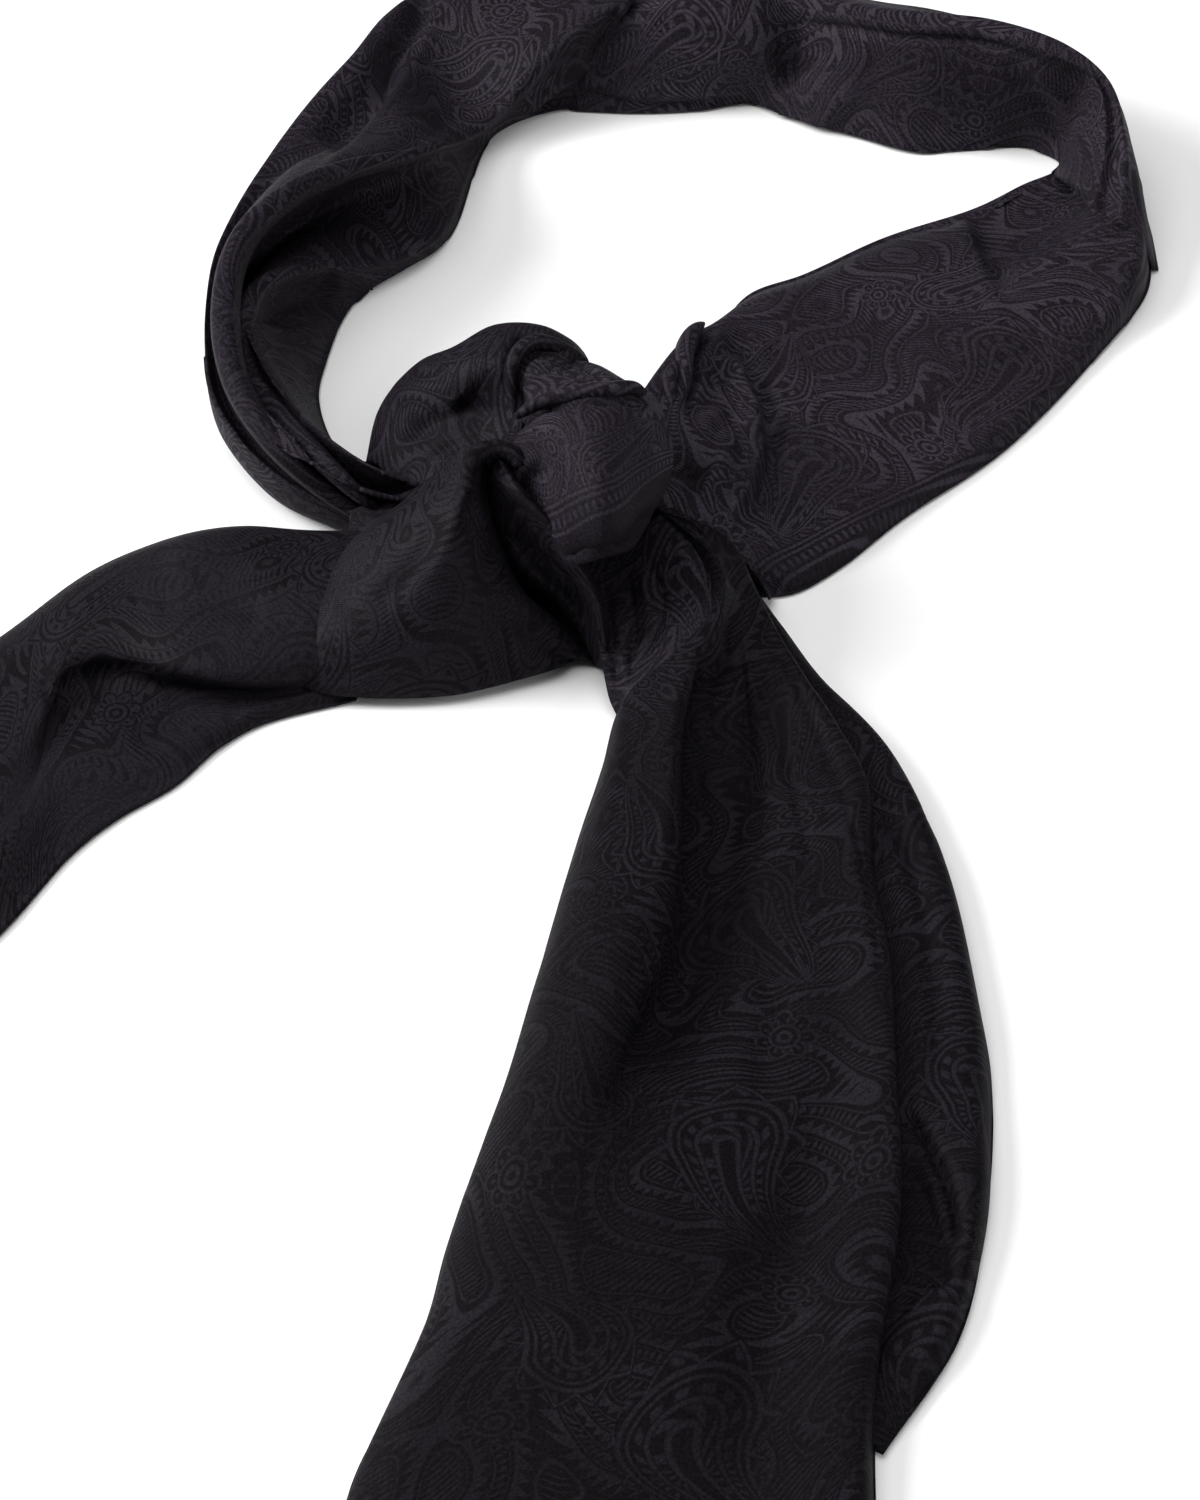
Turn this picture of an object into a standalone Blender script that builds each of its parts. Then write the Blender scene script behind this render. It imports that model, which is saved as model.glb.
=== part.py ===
"""A silk scarf, folded double lengthwise, taken round into a neck loop, knotted and laid down.

Each stretch of cloth that shows is one closed heap, because its hidden layers lie packed under it.
The upper side of a heap runs through the folds of its table, and its underside lies flat on z = 0.
Tables are in millimetres. A row is one section across the cloth, with a cell (x, y, height) for each
fold that the table names, or in the knot a row is one fold. Where two stretches meet, the one that lies
under the other is cut back by it, SEAM_GAP clear of it.
"""
import bpy
import bmesh
import numpy as np

MM = 0.001
SEAM_GAP = 0.3            # mm between stretches that touch
EDGE = 1.2                # mm, the height of a folded edge where it lies on the table
MIDDLE = (-52.0, -8.3)    # mm, the middle of the lying scarf in the tables' frame
CUT_DEPTH = 2.0           # mm that a cutter reaches below the table
SHORTEST_CHORD = 0.01     # mm, so that a curve may pass through a point twice
SILK_BLACK = (0.019, 0.017, 0.022, 1.0)
SILK_ROUGHNESS = 0.52

LOOP_LEFT_FOLDS = ("outer_foot", "outer_top", "crease", "ridge_a", "hollow", "ridge_b", "inner_foot")
LOOP_LEFT = (
    ((-30, 48, 0), (-30, 50, 8), (-30, 52, 8), (-30, 56, 16), (-29, 59, 12), (-28, 62, 14), (-27, 70, 0)),
    ((-52, 67, 0), (-54, 62, 10), (-52, 65, 9), (-49, 57, 20), (-47, 66, 12), (-44, 62, 20), (-44, 87, 0)),
    ((-68, 77, 0), (-69, 73, 12), (-68, 76, 10), (-62, 65, 23), (-61, 78, 13), (-57, 72, 22), (-56, 94, 0)),
    ((-78, 94, 0), (-82, 92, 15), (-81, 97, 12), (-75, 83, 26), (-74, 99, 14), (-70, 92, 23), (-62, 113, 0)),
    ((-83, 112, 0), (-86, 112, 17), (-84, 117, 15), (-81, 102, 30), (-80, 119, 15), (-76, 108, 25), (-61, 127, 0)),
    ((-85, 140, 0), (-86, 139, 20), (-83, 142, 18), (-80, 122, 34), (-78, 146, 12), (-73, 121, 24), (-58, 143, 0)),
    ((-81, 168, 0), (-80, 168, 20), (-75, 169, 19), (-68, 142, 36), (-69, 165, 11), (-64, 140, 17), (-54, 152, 0)),
    ((-74, 196, 0), (-71, 196, 20), (-64, 186, 20), (-56, 157, 33), (-57, 172, 14), (-55, 150, 10), (-49, 158, 0)),
    ((-66, 218, 0), (-60, 222, 20), (-54, 211, 20), (-41, 176, 24), (-41, 184, 14), (-38, 168, 5), (-36, 173, 0)),
    ((-56, 238, 0), (-52, 242, 20), (-47, 236, 20), (-26, 211, 9), (-26, 215, 5), (-26, 216, 3), (-25, 219, 0)),
    ((-44, 256, 0), (-42, 256, 19), (-37, 251, 21), (-11, 224, 20), (-10, 227, 13), (-10, 227, 5), (-10, 229, 0)),
    ((-30, 268, 0), (-27, 264, 19), (-24, 259, 22), (-3, 234, 28), (-2, 232, 19), (-1, 231, 8), (0, 229, 0)),
)

LOOP_BACK_FOLDS = ("inner_foot", "belly", "front_roll", "back_roll", "outer_top", "outer_foot")
LOOP_BACK = (
    ((0, 229, 0), (-1, 231, 8), (-2, 233, 19), (-4, 236, 28), (-26, 263, 19), (-30, 268, 0)),
    ((10, 228, 0), (10, 229, 14), (11, 236, 26), (12, 252, 28), (4, 265, 20), (4, 268, 0)),
    ((24, 229, 0), (24, 229, 16), (25, 235, 31), (27, 250, 30), (30, 260, 20), (31, 264, 0)),
    ((37, 232, 0), (37, 229, 16), (38, 232, 31), (40, 246, 29), (51, 253, 20), (54, 257, 0)),
    ((45, 226, 0), (46, 232, 12), (46, 232, 28), (48, 242, 27), (64, 247, 20), (67, 251, 0)),
    ((61, 218, 0), (61, 219, 16), (61, 222, 31), (63, 232, 28), (84, 241, 20), (87, 245, 0)),
    ((75, 211, 0), (76, 213, 18), (76, 218, 31), (78, 229, 28), (96, 235, 20), (99, 239, 0)),
    ((89, 212, 0), (90, 213, 18), (90, 217, 31), (93, 226, 28), (107, 228, 20), (110, 231, 0)),
    ((102, 213, 0), (104, 210, 17), (105, 208, 30), (109, 216, 28), (117, 217, 19), (119, 220, 0)),
    ((110, 207, 0), (113, 206, 14), (116, 205, 25), (119, 205, 25), (123, 205, 16), (126, 205, 0)),
)

LOOP_RIGHT_FOLDS = ("inner_foot", "inner_edge", "middle", "outer_edge", "outer_foot")
LOOP_RIGHT = (
    ((110, 207, 0), (113, 206, 11), (117, 205, 22), (121, 205, 23), (126, 205, 0)),
    ((110, 205, 0), (112, 198, 8), (118, 182, 20), (125, 180, 18), (128, 180, 0)),
    ((108, 202, 0), (108, 193, 5), (112, 161, 12), (122, 150, 9), (126, 155, 0)),
    ((101, 197, 0), (101, 188, 5), (105, 152, 9), (112, 132, 4), (114, 133, 0)),
    ((89, 187, 0), (88, 178, 4), (88, 137, 7), (87, 97, 4), (88, 95, 0)),
    ((67, 175, 0), (67, 166, 4), (65, 116, 6), (64, 73, 4), (64, 71, 0)),
    ((47, 160, 0), (47, 151, 5), (48, 104, 7), (50, 57, 4), (50, 55, 0)),
    ((34, 152, 0), (34, 141, 7), (37, 98, 9), (40, 49, 4), (40, 47, 0)),
    ((25, 126, 0), (25, 122, 12), (29, 91, 12), (33, 51, 6), (33, 46, 0)),
    ((16, 104, 0), (18, 102, 17), (20, 80, 16), (22, 56, 9), (22, 48, 0)),
    ((6, 88, 0), (6, 86, 18), (6, 74, 18), (6, 62, 12), (6, 50, 0)),
)

TAIL_LEFT_FOLDS = ("back_foot", "crest", "front_roll", "gap", "under", "front_foot")
TAIL_LEFT = (
    ((-40, 56, 0), (-42, 42, 16), (-45, 22, 8), (-46, 19, 3), (-47, 17, 3), (-49, 14, 0)),
    ((-62, 60, 0), (-62, 36, 15), (-63, 13, 8), (-63, 14, 3), (-66, 10, 3), (-67, 7, 0)),
    ((-74, 61, 0), (-73, 37, 15), (-75, 11, 9), (-76, 14, 3), (-75, 5, 3), (-75, 0, 0)),
    ((-84, 59, 0), (-83, 36, 15), (-85, 13, 10), (-87, 15, 3), (-85, -1, 3), (-83, -11, 0)),
    ((-94, 56, 0), (-93, 34, 13), (-95, 18, 9), (-97, 17, 4), (-97, -6, 4), (-93, -20, 0)),
    ((-105, 49, 0), (-105, 29, 11), (-105, 16, 8), (-107, 12, 4), (-106, -13, 4), (-101, -30, 0)),
    ((-123, 30, 0), (-116, 14, 7), (-112, -4, 6), (-111, -13, 4), (-112, -30, 4), (-112, -51, 0)),
    ((-150, 0, 0), (-140, -14, 5), (-129, -31, 5), (-127, -40, 4), (-126, -56, 4), (-127, -72, 0)),
    ((-188, -45, 0), (-177, -55, 4), (-163, -70, 4), (-157, -78, 4), (-152, -90, 4), (-150, -103, 0)),
    ((-232, -98, 0), (-220, -107, 3), (-203, -121, 3), (-194, -128, 3), (-184, -137, 3), (-178, -142, 0)),
)

TAIL_FRONT_FOLDS = ("left_foot", "crest", "valley", "dip", "right_roll", "right_foot")
TAIL_FRONT = (
    ((8, 46, 18), (10, 45, 26), (13, 44, 26), (15, 44, 26), (17, 43, 25), (20, 43, 18)),
    ((17, 37, 16), (19, 34, 28), (22, 35, 25), (24, 36, 24), (26, 37, 23), (29, 39, 12)),
    ((21, 29, 14), (24, 28, 25), (27, 30, 19), (29, 31, 16), (31, 32, 15), (34, 34, 4)),
    ((20, 20, 9), (24, 19, 20), (27, 18, 12), (33, 19, 11), (37, 19, 11), (38, 19, 0)),
    ((11, 10, 4), (20, 10, 18), (25, 8, 9), (34, 8, 9), (41, 9, 10), (42, 10, 0)),
    ((4, 6, 0), (16, 1, 16), (21, 0, 7), (37, -1, 8), (46, -3, 10), (48, -5, 0)),
    ((0, -11, 0), (14, -16, 15), (18, -18, 4), (39, -19, 8), (51, -18, 9), (52, -20, 0)),
    ((-7, -42, 0), (12, -40, 15), (17, -41, 5), (42, -36, 8), (50, -36, 9), (53, -37, 0)),
    ((-12, -67, 0), (6, -68, 15), (14, -69, 6), (42, -64, 7), (52, -65, 9), (54, -65, 0)),
    ((-18, -94, 0), (-1, -97, 13), (11, -94, 8), (41, -91, 6), (52, -90, 9), (53, -91, 0)),
    ((-26, -126, 0), (-7, -129, 11), (9, -123, 10), (35, -122, 5), (51, -120, 8), (51, -122, 0)),
    ((-29, -142, 0), (-9, -144, 10), (8, -141, 9), (30, -140, 5), (48, -139, 8), (48, -141, 0)),
    ((-40, -175, 0), (-17, -171, 9), (4, -170, 8), (26, -168, 5), (43, -163, 7), (45, -165, 0)),
    ((-53, -230, 0), (-24, -230, 6), (-6, -230, 6), (22, -230, 4), (40, -230, 5), (43, -230, 0)),
    ((-64, -285, 0), (-34, -285, 3), (-16, -285, 3), (16, -285, 3), (34, -285, 3), (37, -285, 0)),
)

TAIL_UNDER_FOLDS = ("lap", "slope", "edge", "foot")
TAIL_UNDER = (
    ((12, 50, 3), (15, 48, 14), (19, 46, 13), (22, 44, 3)),
    ((21, 40, 3), (26, 39, 13), (30, 38, 10), (33, 37, 3)),
    ((28, 30, 2), (32, 31, 9), (36, 31, 6), (37, 30, 0)),
    ((31, 10, 2), (39, 16, 7), (44, 15, 5), (46, 15, 0)),
    ((34, -10, 2), (47, -3, 6), (54, -1, 5), (56, -2, 0)),
    ((36, -35, 2), (53, -20, 5), (60, -18, 5), (62, -20, 0)),
    ((37, -60, 2), (56, -35, 5), (64, -35, 5), (66, -36, 0)),
    ((39, -85, 2), (57, -64, 5), (67, -64, 5), (69, -65, 0)),
    ((40, -105, 2), (56, -93, 5), (67, -92, 5), (70, -93, 0)),
    ((40, -130, 2), (55, -122, 4), (64, -123, 5), (66, -124, 0)),
    ((39, -146, 2), (52, -138, 3), (58, -144, 4), (60, -146, 0)),
    ((37, -160, 2), (40, -164, 2), (43, -167, 2), (46, -169, 0)),
)

KNOT_LOBE = {
    "back_foot": ((-50, 82, 0), (-46, 91, 0), (-37, 96, 0), (-26, 99, 0), (-14, 99, 0), (-3, 94, 0), (6, 85, 0)),
    "back": ((-50, 80, 8), (-47, 90, 16), (-39, 93, 25), (-31, 91, 31), (-22, 92, 36), (-12, 90, 37), (-2, 84, 35)),
    "crest": ((-48, 76, 12), (-43, 81, 22), (-35, 78, 30), (-27, 75, 36), (-20, 76, 40), (-11, 76, 42), (-3, 69, 41)),
    "hollow": ((-45, 71, 13), (-38, 70, 20), (-31, 69, 26), (-24, 69, 30), (-18, 68, 35), (-12, 63, 40), (-4, 60, 41)),
    "tuck": ((-41, 62, 10), (-35, 58, 16), (-28, 56, 22), (-22, 55, 26), (-17, 54, 31), (-12, 53, 36), (-6, 52, 38)),
}
KNOT_WRAP = {
    "left": ((-9, 78, 38), (-15, 67, 40), (-15, 55, 41), (-17, 52, 38), (-18, 50, 34), (-18, 46, 31), (-15, 41, 30),
             (-11, 37, 27), (-7, 35, 20)),
    "middle": ((-2, 76, 39), (-3, 65, 43), (-2, 54, 47), (-1, 42, 49), (-1, 33, 48), (0, 25, 46), (1, 20, 42),
               (2, 20, 34), (2, 26, 22)),
    "right": ((4, 74, 35), (9, 66, 39), (12, 61, 39), (14, 56, 36), (15, 52, 33), (14, 47, 30), (13, 43, 28),
              (11, 38, 25), (8, 35, 18)),
}
KNOT_CONE = {
    "back": ((-28, 47, 38), (-35, 49, 29), (-43, 49, 21), (-53, 47, 13), (-60, 41, 8), (-64, 35, 5)),
    "ridge": ((-27, 45, 41), (-32, 39, 36), (-38, 39, 30), (-48, 38, 21), (-57, 32, 13), (-64, 24, 5)),
    "face_left": ((-26, 43, 42), (-31, 32, 38), (-36, 31, 32), (-45, 26, 23), (-53, 20, 14), (-60, 15, 4)),
    "face": ((-25, 42, 43), (-27, 30, 39), (-29, 24, 32), (-32, 20, 22), (-36, 15, 12), (-38, 13, 3)),
    "face_right": ((-24, 42, 42), (-24, 33, 37), (-23, 28, 29), (-20, 23, 20), (-17, 20, 13), (-15, 20, 4)),
    "crease": ((-23, 46, 38), (-23, 41, 30), (-18, 35, 23), (-12, 30, 16), (-6, 26, 9), (0, 23, 2)),
}
KNOT_PLEAT = {
    "crease": ((-22, 42, 36), (-19, 34, 31), (-12, 25, 26), (-6, 20, 20), (-3, 17, 13), (-1, 18, 4)),
    "slope": ((-21, 42, 41), (-18, 34, 36), (-12, 26, 31), (-6, 21, 25), (-2, 18, 17), (0, 19, 7)),
    "edge": ((-19, 43, 43), (-16, 36, 38), (-10, 27, 33), (-4, 23, 27), (0, 20, 20), (2, 21, 8)),
    "drop": ((-16, 45, 37), (-12, 39, 33), (-6, 32, 29), (-1, 27, 23), (3, 24, 14), (5, 24, 3)),
}
KNOT_MOUTH = {
    "left": ((-6, 42, 18), (-3, 32, 14), (-1, 25, 12), (0, 20, 9), (1, 15, 5), (2, 11, 3), (4, 7, 1)),
    "bowl": ((6, 40, 22), (8, 33, 14), (9, 25, 12), (9, 18, 9), (7, 12, 7), (6, 9, 5), (6, 6, 2)),
    "rim": ((12, 42, 26), (20, 33, 25), (24, 25, 22), (21, 16, 18), (16, 10, 14), (11, 7, 10), (8, 5, 4)),
}


def by_fold(names, rows):
    """A table of sections, turned into a line of points for each named fold."""
    return {name: np.array([row[i] for row in rows], float) for i, name in enumerate(names)}


def line(first, second, share, height=None, lift=0.0):
    """A line between two folds at this share of the way, with its own share of the height and a lift."""
    place = first + (second - first) * share
    place[:, 2] = first[:, 2] + (second[:, 2] - first[:, 2]) * (share if height is None else height) + lift
    return place


def loop_left_lines():
    """The left side of the neck loop: an outer strip, two rolled ridges and the hollows beside them."""
    fold = by_fold(LOOP_LEFT_FOLDS, LOOP_LEFT)
    outer_belly = line(fold["outer_foot"], fold["outer_top"], 0.9, 0.45)
    ridge_side = line(fold["crease"], fold["ridge_a"], 0.55, 0.75)
    ridge_b_side = line(fold["hollow"], fold["ridge_b"], 0.6, 0.75)
    inner_side = line(fold["ridge_b"], fold["inner_foot"], 0.45, 0.45)
    return [fold["outer_foot"], outer_belly, fold["outer_top"], fold["crease"], ridge_side, fold["ridge_a"],
            fold["hollow"], ridge_b_side, fold["ridge_b"], inner_side, fold["inner_foot"]]


def loop_back_lines():
    """The back of the neck loop stands on its edge, with two rolls on top."""
    fold = by_fold(LOOP_BACK_FOLDS, LOOP_BACK)
    front, back = fold["front_roll"], fold["back_roll"]
    inner_side = line(fold["inner_foot"], fold["belly"], 0.3, 0.4)
    shoulder = line(fold["belly"], front, 0.6, 0.75)
    groove = line(front, back, 0.4, 0.4, -2.0)
    back_slope = line(back, fold["outer_top"], 0.5, 0.4)
    return [fold["inner_foot"], inner_side, fold["belly"], shoulder, front, groove, back, back_slope,
            fold["outer_top"], fold["outer_foot"]]


def loop_right_lines():
    """The right side of the neck loop lies flat and broad, and gathers into the knot."""
    fold = by_fold(LOOP_RIGHT_FOLDS, LOOP_RIGHT)
    rise = line(fold["inner_edge"], fold["middle"], 0.5, 0.55)
    fall = line(fold["middle"], fold["outer_edge"], 0.5, 0.35)
    return [fold["inner_foot"], fold["inner_edge"], rise, fold["middle"], fall, fold["outer_edge"], fold["outer_foot"]]


def tail_left_lines():
    """The left tail's upper layer rolls over at its front, and the under layer reaches out below it."""
    fold = by_fold(TAIL_LEFT_FOLDS, TAIL_LEFT)
    back_belly = line(fold["back_foot"], fold["crest"], 0.06, 0.5)
    back_shoulder = line(fold["back_foot"], fold["crest"], 0.35, 0.87)
    top = line(fold["crest"], fold["front_roll"], 0.6, 0.3)
    return [fold["back_foot"], back_belly, back_shoulder, fold["crest"], top, fold["front_roll"], fold["gap"],
            fold["under"], fold["front_foot"]]


def tail_front_lines():
    """The front tail has a rolled crest along its left, a valley beside it and a rolled right edge."""
    fold = by_fold(TAIL_FRONT_FOLDS, TAIL_FRONT)
    left_belly = line(fold["left_foot"], fold["crest"], 0.06, 0.5)
    left_shoulder = line(fold["left_foot"], fold["crest"], 0.35, 0.87)
    middle = line(fold["valley"], fold["dip"], 0.45)
    return [fold["left_foot"], left_belly, left_shoulder, fold["crest"], fold["valley"], middle, fold["dip"],
            fold["right_roll"], fold["right_foot"]]


def tail_under_lines():
    """The scarf's under layer, which reaches out to the right below the front tail."""
    fold = by_fold(TAIL_UNDER_FOLDS, TAIL_UNDER)
    return [fold["lap"], line(fold["lap"], fold["slope"], 0.5, 0.7), fold["slope"], fold["edge"], fold["foot"]]


def knot_lines(folds):
    """The folds of one of the knot's own pieces, as drawn."""
    return [np.array(points, float) for points in folds.values()]


def knot_wrap_lines():
    """The turn of cloth that goes over the knot is crowned across its width."""
    left, middle, right = knot_lines(KNOT_WRAP)
    return [left, line(left, middle, 0.4, 0.72), middle, line(middle, right, 0.6, 0.35), right]


def smooth(points, steps):
    """A smooth curve through the points, with this many steps from each to the next."""
    chord = np.diff(points, axis=0)
    pace = np.sqrt(np.maximum(np.linalg.norm(chord, axis=1), SHORTEST_CHORD))[:, None]
    speed = chord / pace
    turning = (speed[:-1] * pace[1:] + speed[1:] * pace[:-1]) / (pace[:-1] + pace[1:])
    tangents = np.concatenate([speed[:1], turning, speed[-1:]])
    share = np.arange(steps)[:, None] / steps
    ease = share * share * (3 - 2 * share)
    start_pull = share * (1 - share) ** 2
    end_pull = share * share * (share - 1)
    spans = [points[i] * (1 - ease) + points[i + 1] * ease
             + (tangents[i] * start_pull + tangents[i + 1] * end_pull) * pace[i]
             for i in range(len(points) - 1)]
    return np.concatenate(spans + [points[-1:]])


def upper_side(lines, steps_along, steps_across):
    """The cloth through its folds: one row of points for each section."""
    along = np.array([smooth(points, steps_along) for points in lines])
    rows = np.array([smooth(along[:, i], steps_across) for i in range(along.shape[1])])
    rows[:, :, 2] = np.maximum(rows[:, :, 2], EDGE)
    rows[:, :, :2] -= MIDDLE
    return rows * MM


def heap_mesh(name, rows):
    """A closed heap: the upper side, an upright edge all round down to the table, and a flat underside."""
    sections, width = rows.shape[:2]
    shape = bmesh.new()
    top = [[shape.verts.new(point) for point in row] for row in rows]
    for i in range(sections - 1):
        for j in range(width - 1):
            shape.faces.new((top[i][j], top[i + 1][j], top[i + 1][j + 1], top[i][j + 1]))
    border = [top[i][0] for i in range(sections)] + top[-1][1:]
    border += [top[i][-1] for i in reversed(range(sections - 1))] + top[0][-2:0:-1]
    ground = [shape.verts.new((vert.co.x, vert.co.y, 0.0)) for vert in border]
    for i in range(len(border)):
        after = (i + 1) % len(border)
        shape.faces.new((border[after], border[i], ground[i], ground[after]))
    shape.faces.new(ground[::-1])
    if shape.calc_volume(signed=True) < 0:
        bmesh.ops.reverse_faces(shape, faces=shape.faces)
    bmesh.ops.triangulate(shape, faces=[face for face in shape.faces if len(face.verts) == 4])
    mesh = bpy.data.meshes.new(name)
    shape.to_mesh(mesh)
    shape.free()
    return mesh


def silk(name):
    """Black jacquard silk, with a soft sheen."""
    material = bpy.data.materials.new(name + "_silk")
    material.use_nodes = True
    shader = material.node_tree.nodes["Principled BSDF"]
    shader.inputs["Base Color"].default_value = SILK_BLACK
    shader.inputs["Roughness"].default_value = SILK_ROUGHNESS
    shader.inputs["Metallic"].default_value = 0.0
    return material


def cutter_from(stretch):
    """A copy of a stretch, SEAM_GAP larger all round and reaching below the table, which cuts others."""
    shape = bmesh.new()
    shape.from_mesh(stretch.data)
    shape.normal_update()
    moves = [vert.normal * (vert.calc_shell_factor() * SEAM_GAP * MM) for vert in shape.verts]
    for vert, move in zip(shape.verts, moves):
        on_table = vert.co.z < EDGE * MM / 2
        vert.co += move
        if on_table:
            vert.co.z = -CUT_DEPTH * MM
    mesh = bpy.data.meshes.new(stretch.name + "_cutter")
    shape.to_mesh(mesh)
    shape.free()
    cutter = bpy.data.objects.new(stretch.name + "_cutter", mesh)
    bpy.context.scene.collection.objects.link(cutter)
    cutter.hide_render = True
    cutter.display_type = "WIRE"
    return cutter


# Each stretch: its lines, the steps along and across from fold to fold, and the stretches that lie over it.
STRETCHES = {
    "knot_wrap": (knot_wrap_lines, 2, 2, ()),
    "knot_cone": (lambda: knot_lines(KNOT_CONE), 3, 2, ("knot_wrap",)),
    "knot_lobe": (lambda: knot_lines(KNOT_LOBE), 2, 2, ("knot_wrap", "knot_cone")),
    "knot_pleat": (lambda: knot_lines(KNOT_PLEAT), 2, 2, ("knot_wrap", "knot_cone", "knot_lobe")),
    "knot_mouth": (lambda: knot_lines(KNOT_MOUTH), 2, 3, ("knot_wrap", "knot_cone", "knot_pleat")),
    "tail_front": (tail_front_lines, 2, 2, ("knot_wrap", "knot_cone", "knot_pleat", "knot_mouth")),
    "tail_under": (tail_under_lines, 2, 2, ("knot_wrap", "knot_mouth", "tail_front")),
    "loop_left": (loop_left_lines, 3, 2, ("knot_wrap", "knot_cone", "knot_lobe")),
    "loop_right": (loop_right_lines, 2, 2,
                   ("knot_wrap", "knot_cone", "knot_lobe", "knot_pleat", "knot_mouth", "tail_front", "tail_under")),
    "loop_back": (loop_back_lines, 2, 2, ("loop_left", "loop_right")),
    "tail_left": (tail_left_lines, 2, 2, ("knot_cone", "knot_lobe", "loop_left")),
}


def build():
    """Heaps every stretch, then cuts each one back where others lie over it."""
    for old in list(bpy.data.objects):
        bpy.data.objects.remove(old)
    stretches = {}
    for name, (lines, steps_along, steps_across, _) in STRETCHES.items():
        mesh = heap_mesh(name, upper_side(lines(), steps_along, steps_across))
        mesh.shade_smooth()
        mesh.materials.append(silk(name))
        stretches[name] = bpy.data.objects.new(name, mesh)
        bpy.context.scene.collection.objects.link(stretches[name])
    over = sorted({other for row in STRETCHES.values() for other in row[3]})
    cutters = {name: cutter_from(stretches[name]) for name in over}
    for name, (_, _, _, lies_under) in STRETCHES.items():
        for other in lies_under:
            cut = stretches[name].modifiers.new("under_" + other, "BOOLEAN")
            cut.operation = "DIFFERENCE"
            cut.solver = "EXACT"
            cut.object = cutters[other]


build()
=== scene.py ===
"""A black jacquard silk scarf, folded double, knotted into a neck loop and laid down, in front of a camera.

Each stretch of the folded cloth that shows is a thin shell close to the form of its solid. The tables hold
its folds in millimetres, a row for each section across the cloth or, in the knot, a row for each fold. The
creases and the narrow rolls follow paths picked on the photograph, in pixels of its 1200 x 1500 frame, and
their widths, depths and radii are in millimetres.
"""
import bpy
import numpy as np
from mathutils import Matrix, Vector, noise


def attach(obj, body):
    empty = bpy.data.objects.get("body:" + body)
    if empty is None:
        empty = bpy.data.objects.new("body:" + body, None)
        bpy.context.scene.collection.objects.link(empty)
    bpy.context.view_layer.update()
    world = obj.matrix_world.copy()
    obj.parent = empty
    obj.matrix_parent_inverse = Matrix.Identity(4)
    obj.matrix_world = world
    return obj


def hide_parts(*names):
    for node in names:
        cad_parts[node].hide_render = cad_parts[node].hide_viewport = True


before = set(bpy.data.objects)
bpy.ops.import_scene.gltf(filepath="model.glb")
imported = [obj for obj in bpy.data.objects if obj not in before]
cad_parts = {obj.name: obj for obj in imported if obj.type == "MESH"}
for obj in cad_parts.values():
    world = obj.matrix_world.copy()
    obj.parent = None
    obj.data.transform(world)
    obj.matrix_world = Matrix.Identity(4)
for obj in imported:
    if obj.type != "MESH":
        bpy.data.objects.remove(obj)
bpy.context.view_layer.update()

MM = 0.001
EDGE = 0.8                # mm, the least height of the cloth above the table
THICKNESS = 0.5           # mm, the folded silk
MIDDLE = np.array((-52.0, -8.3, 0.0))   # mm, the middle of the lying scarf in the tables' frame
SHORTEST_CHORD = 0.01     # mm, so that a curve may pass through a point twice
TINY = 1e-9               # keeps a division from zero

# The camera looks at the tables' origin, which is the middle of the photograph.
VIEW_HEIGHT = 43.0        # degrees above the table
VIEW_DISTANCE = 700.0     # mm
LENS = 85.0               # mm
FRAME_HEIGHT = 36.0       # mm
FRAME_PIXELS = (1200, 1500)
TILT = np.radians(VIEW_HEIGHT)
AWAY = np.array((0, np.cos(TILT), -np.sin(TILT)))     # the way the camera looks
PICTURE_UP = np.array((0, np.sin(TILT), np.cos(TILT)))
PIXEL = FRAME_HEIGHT / FRAME_PIXELS[1] / LENS         # a pixel's width for each millimetre of depth

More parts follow.
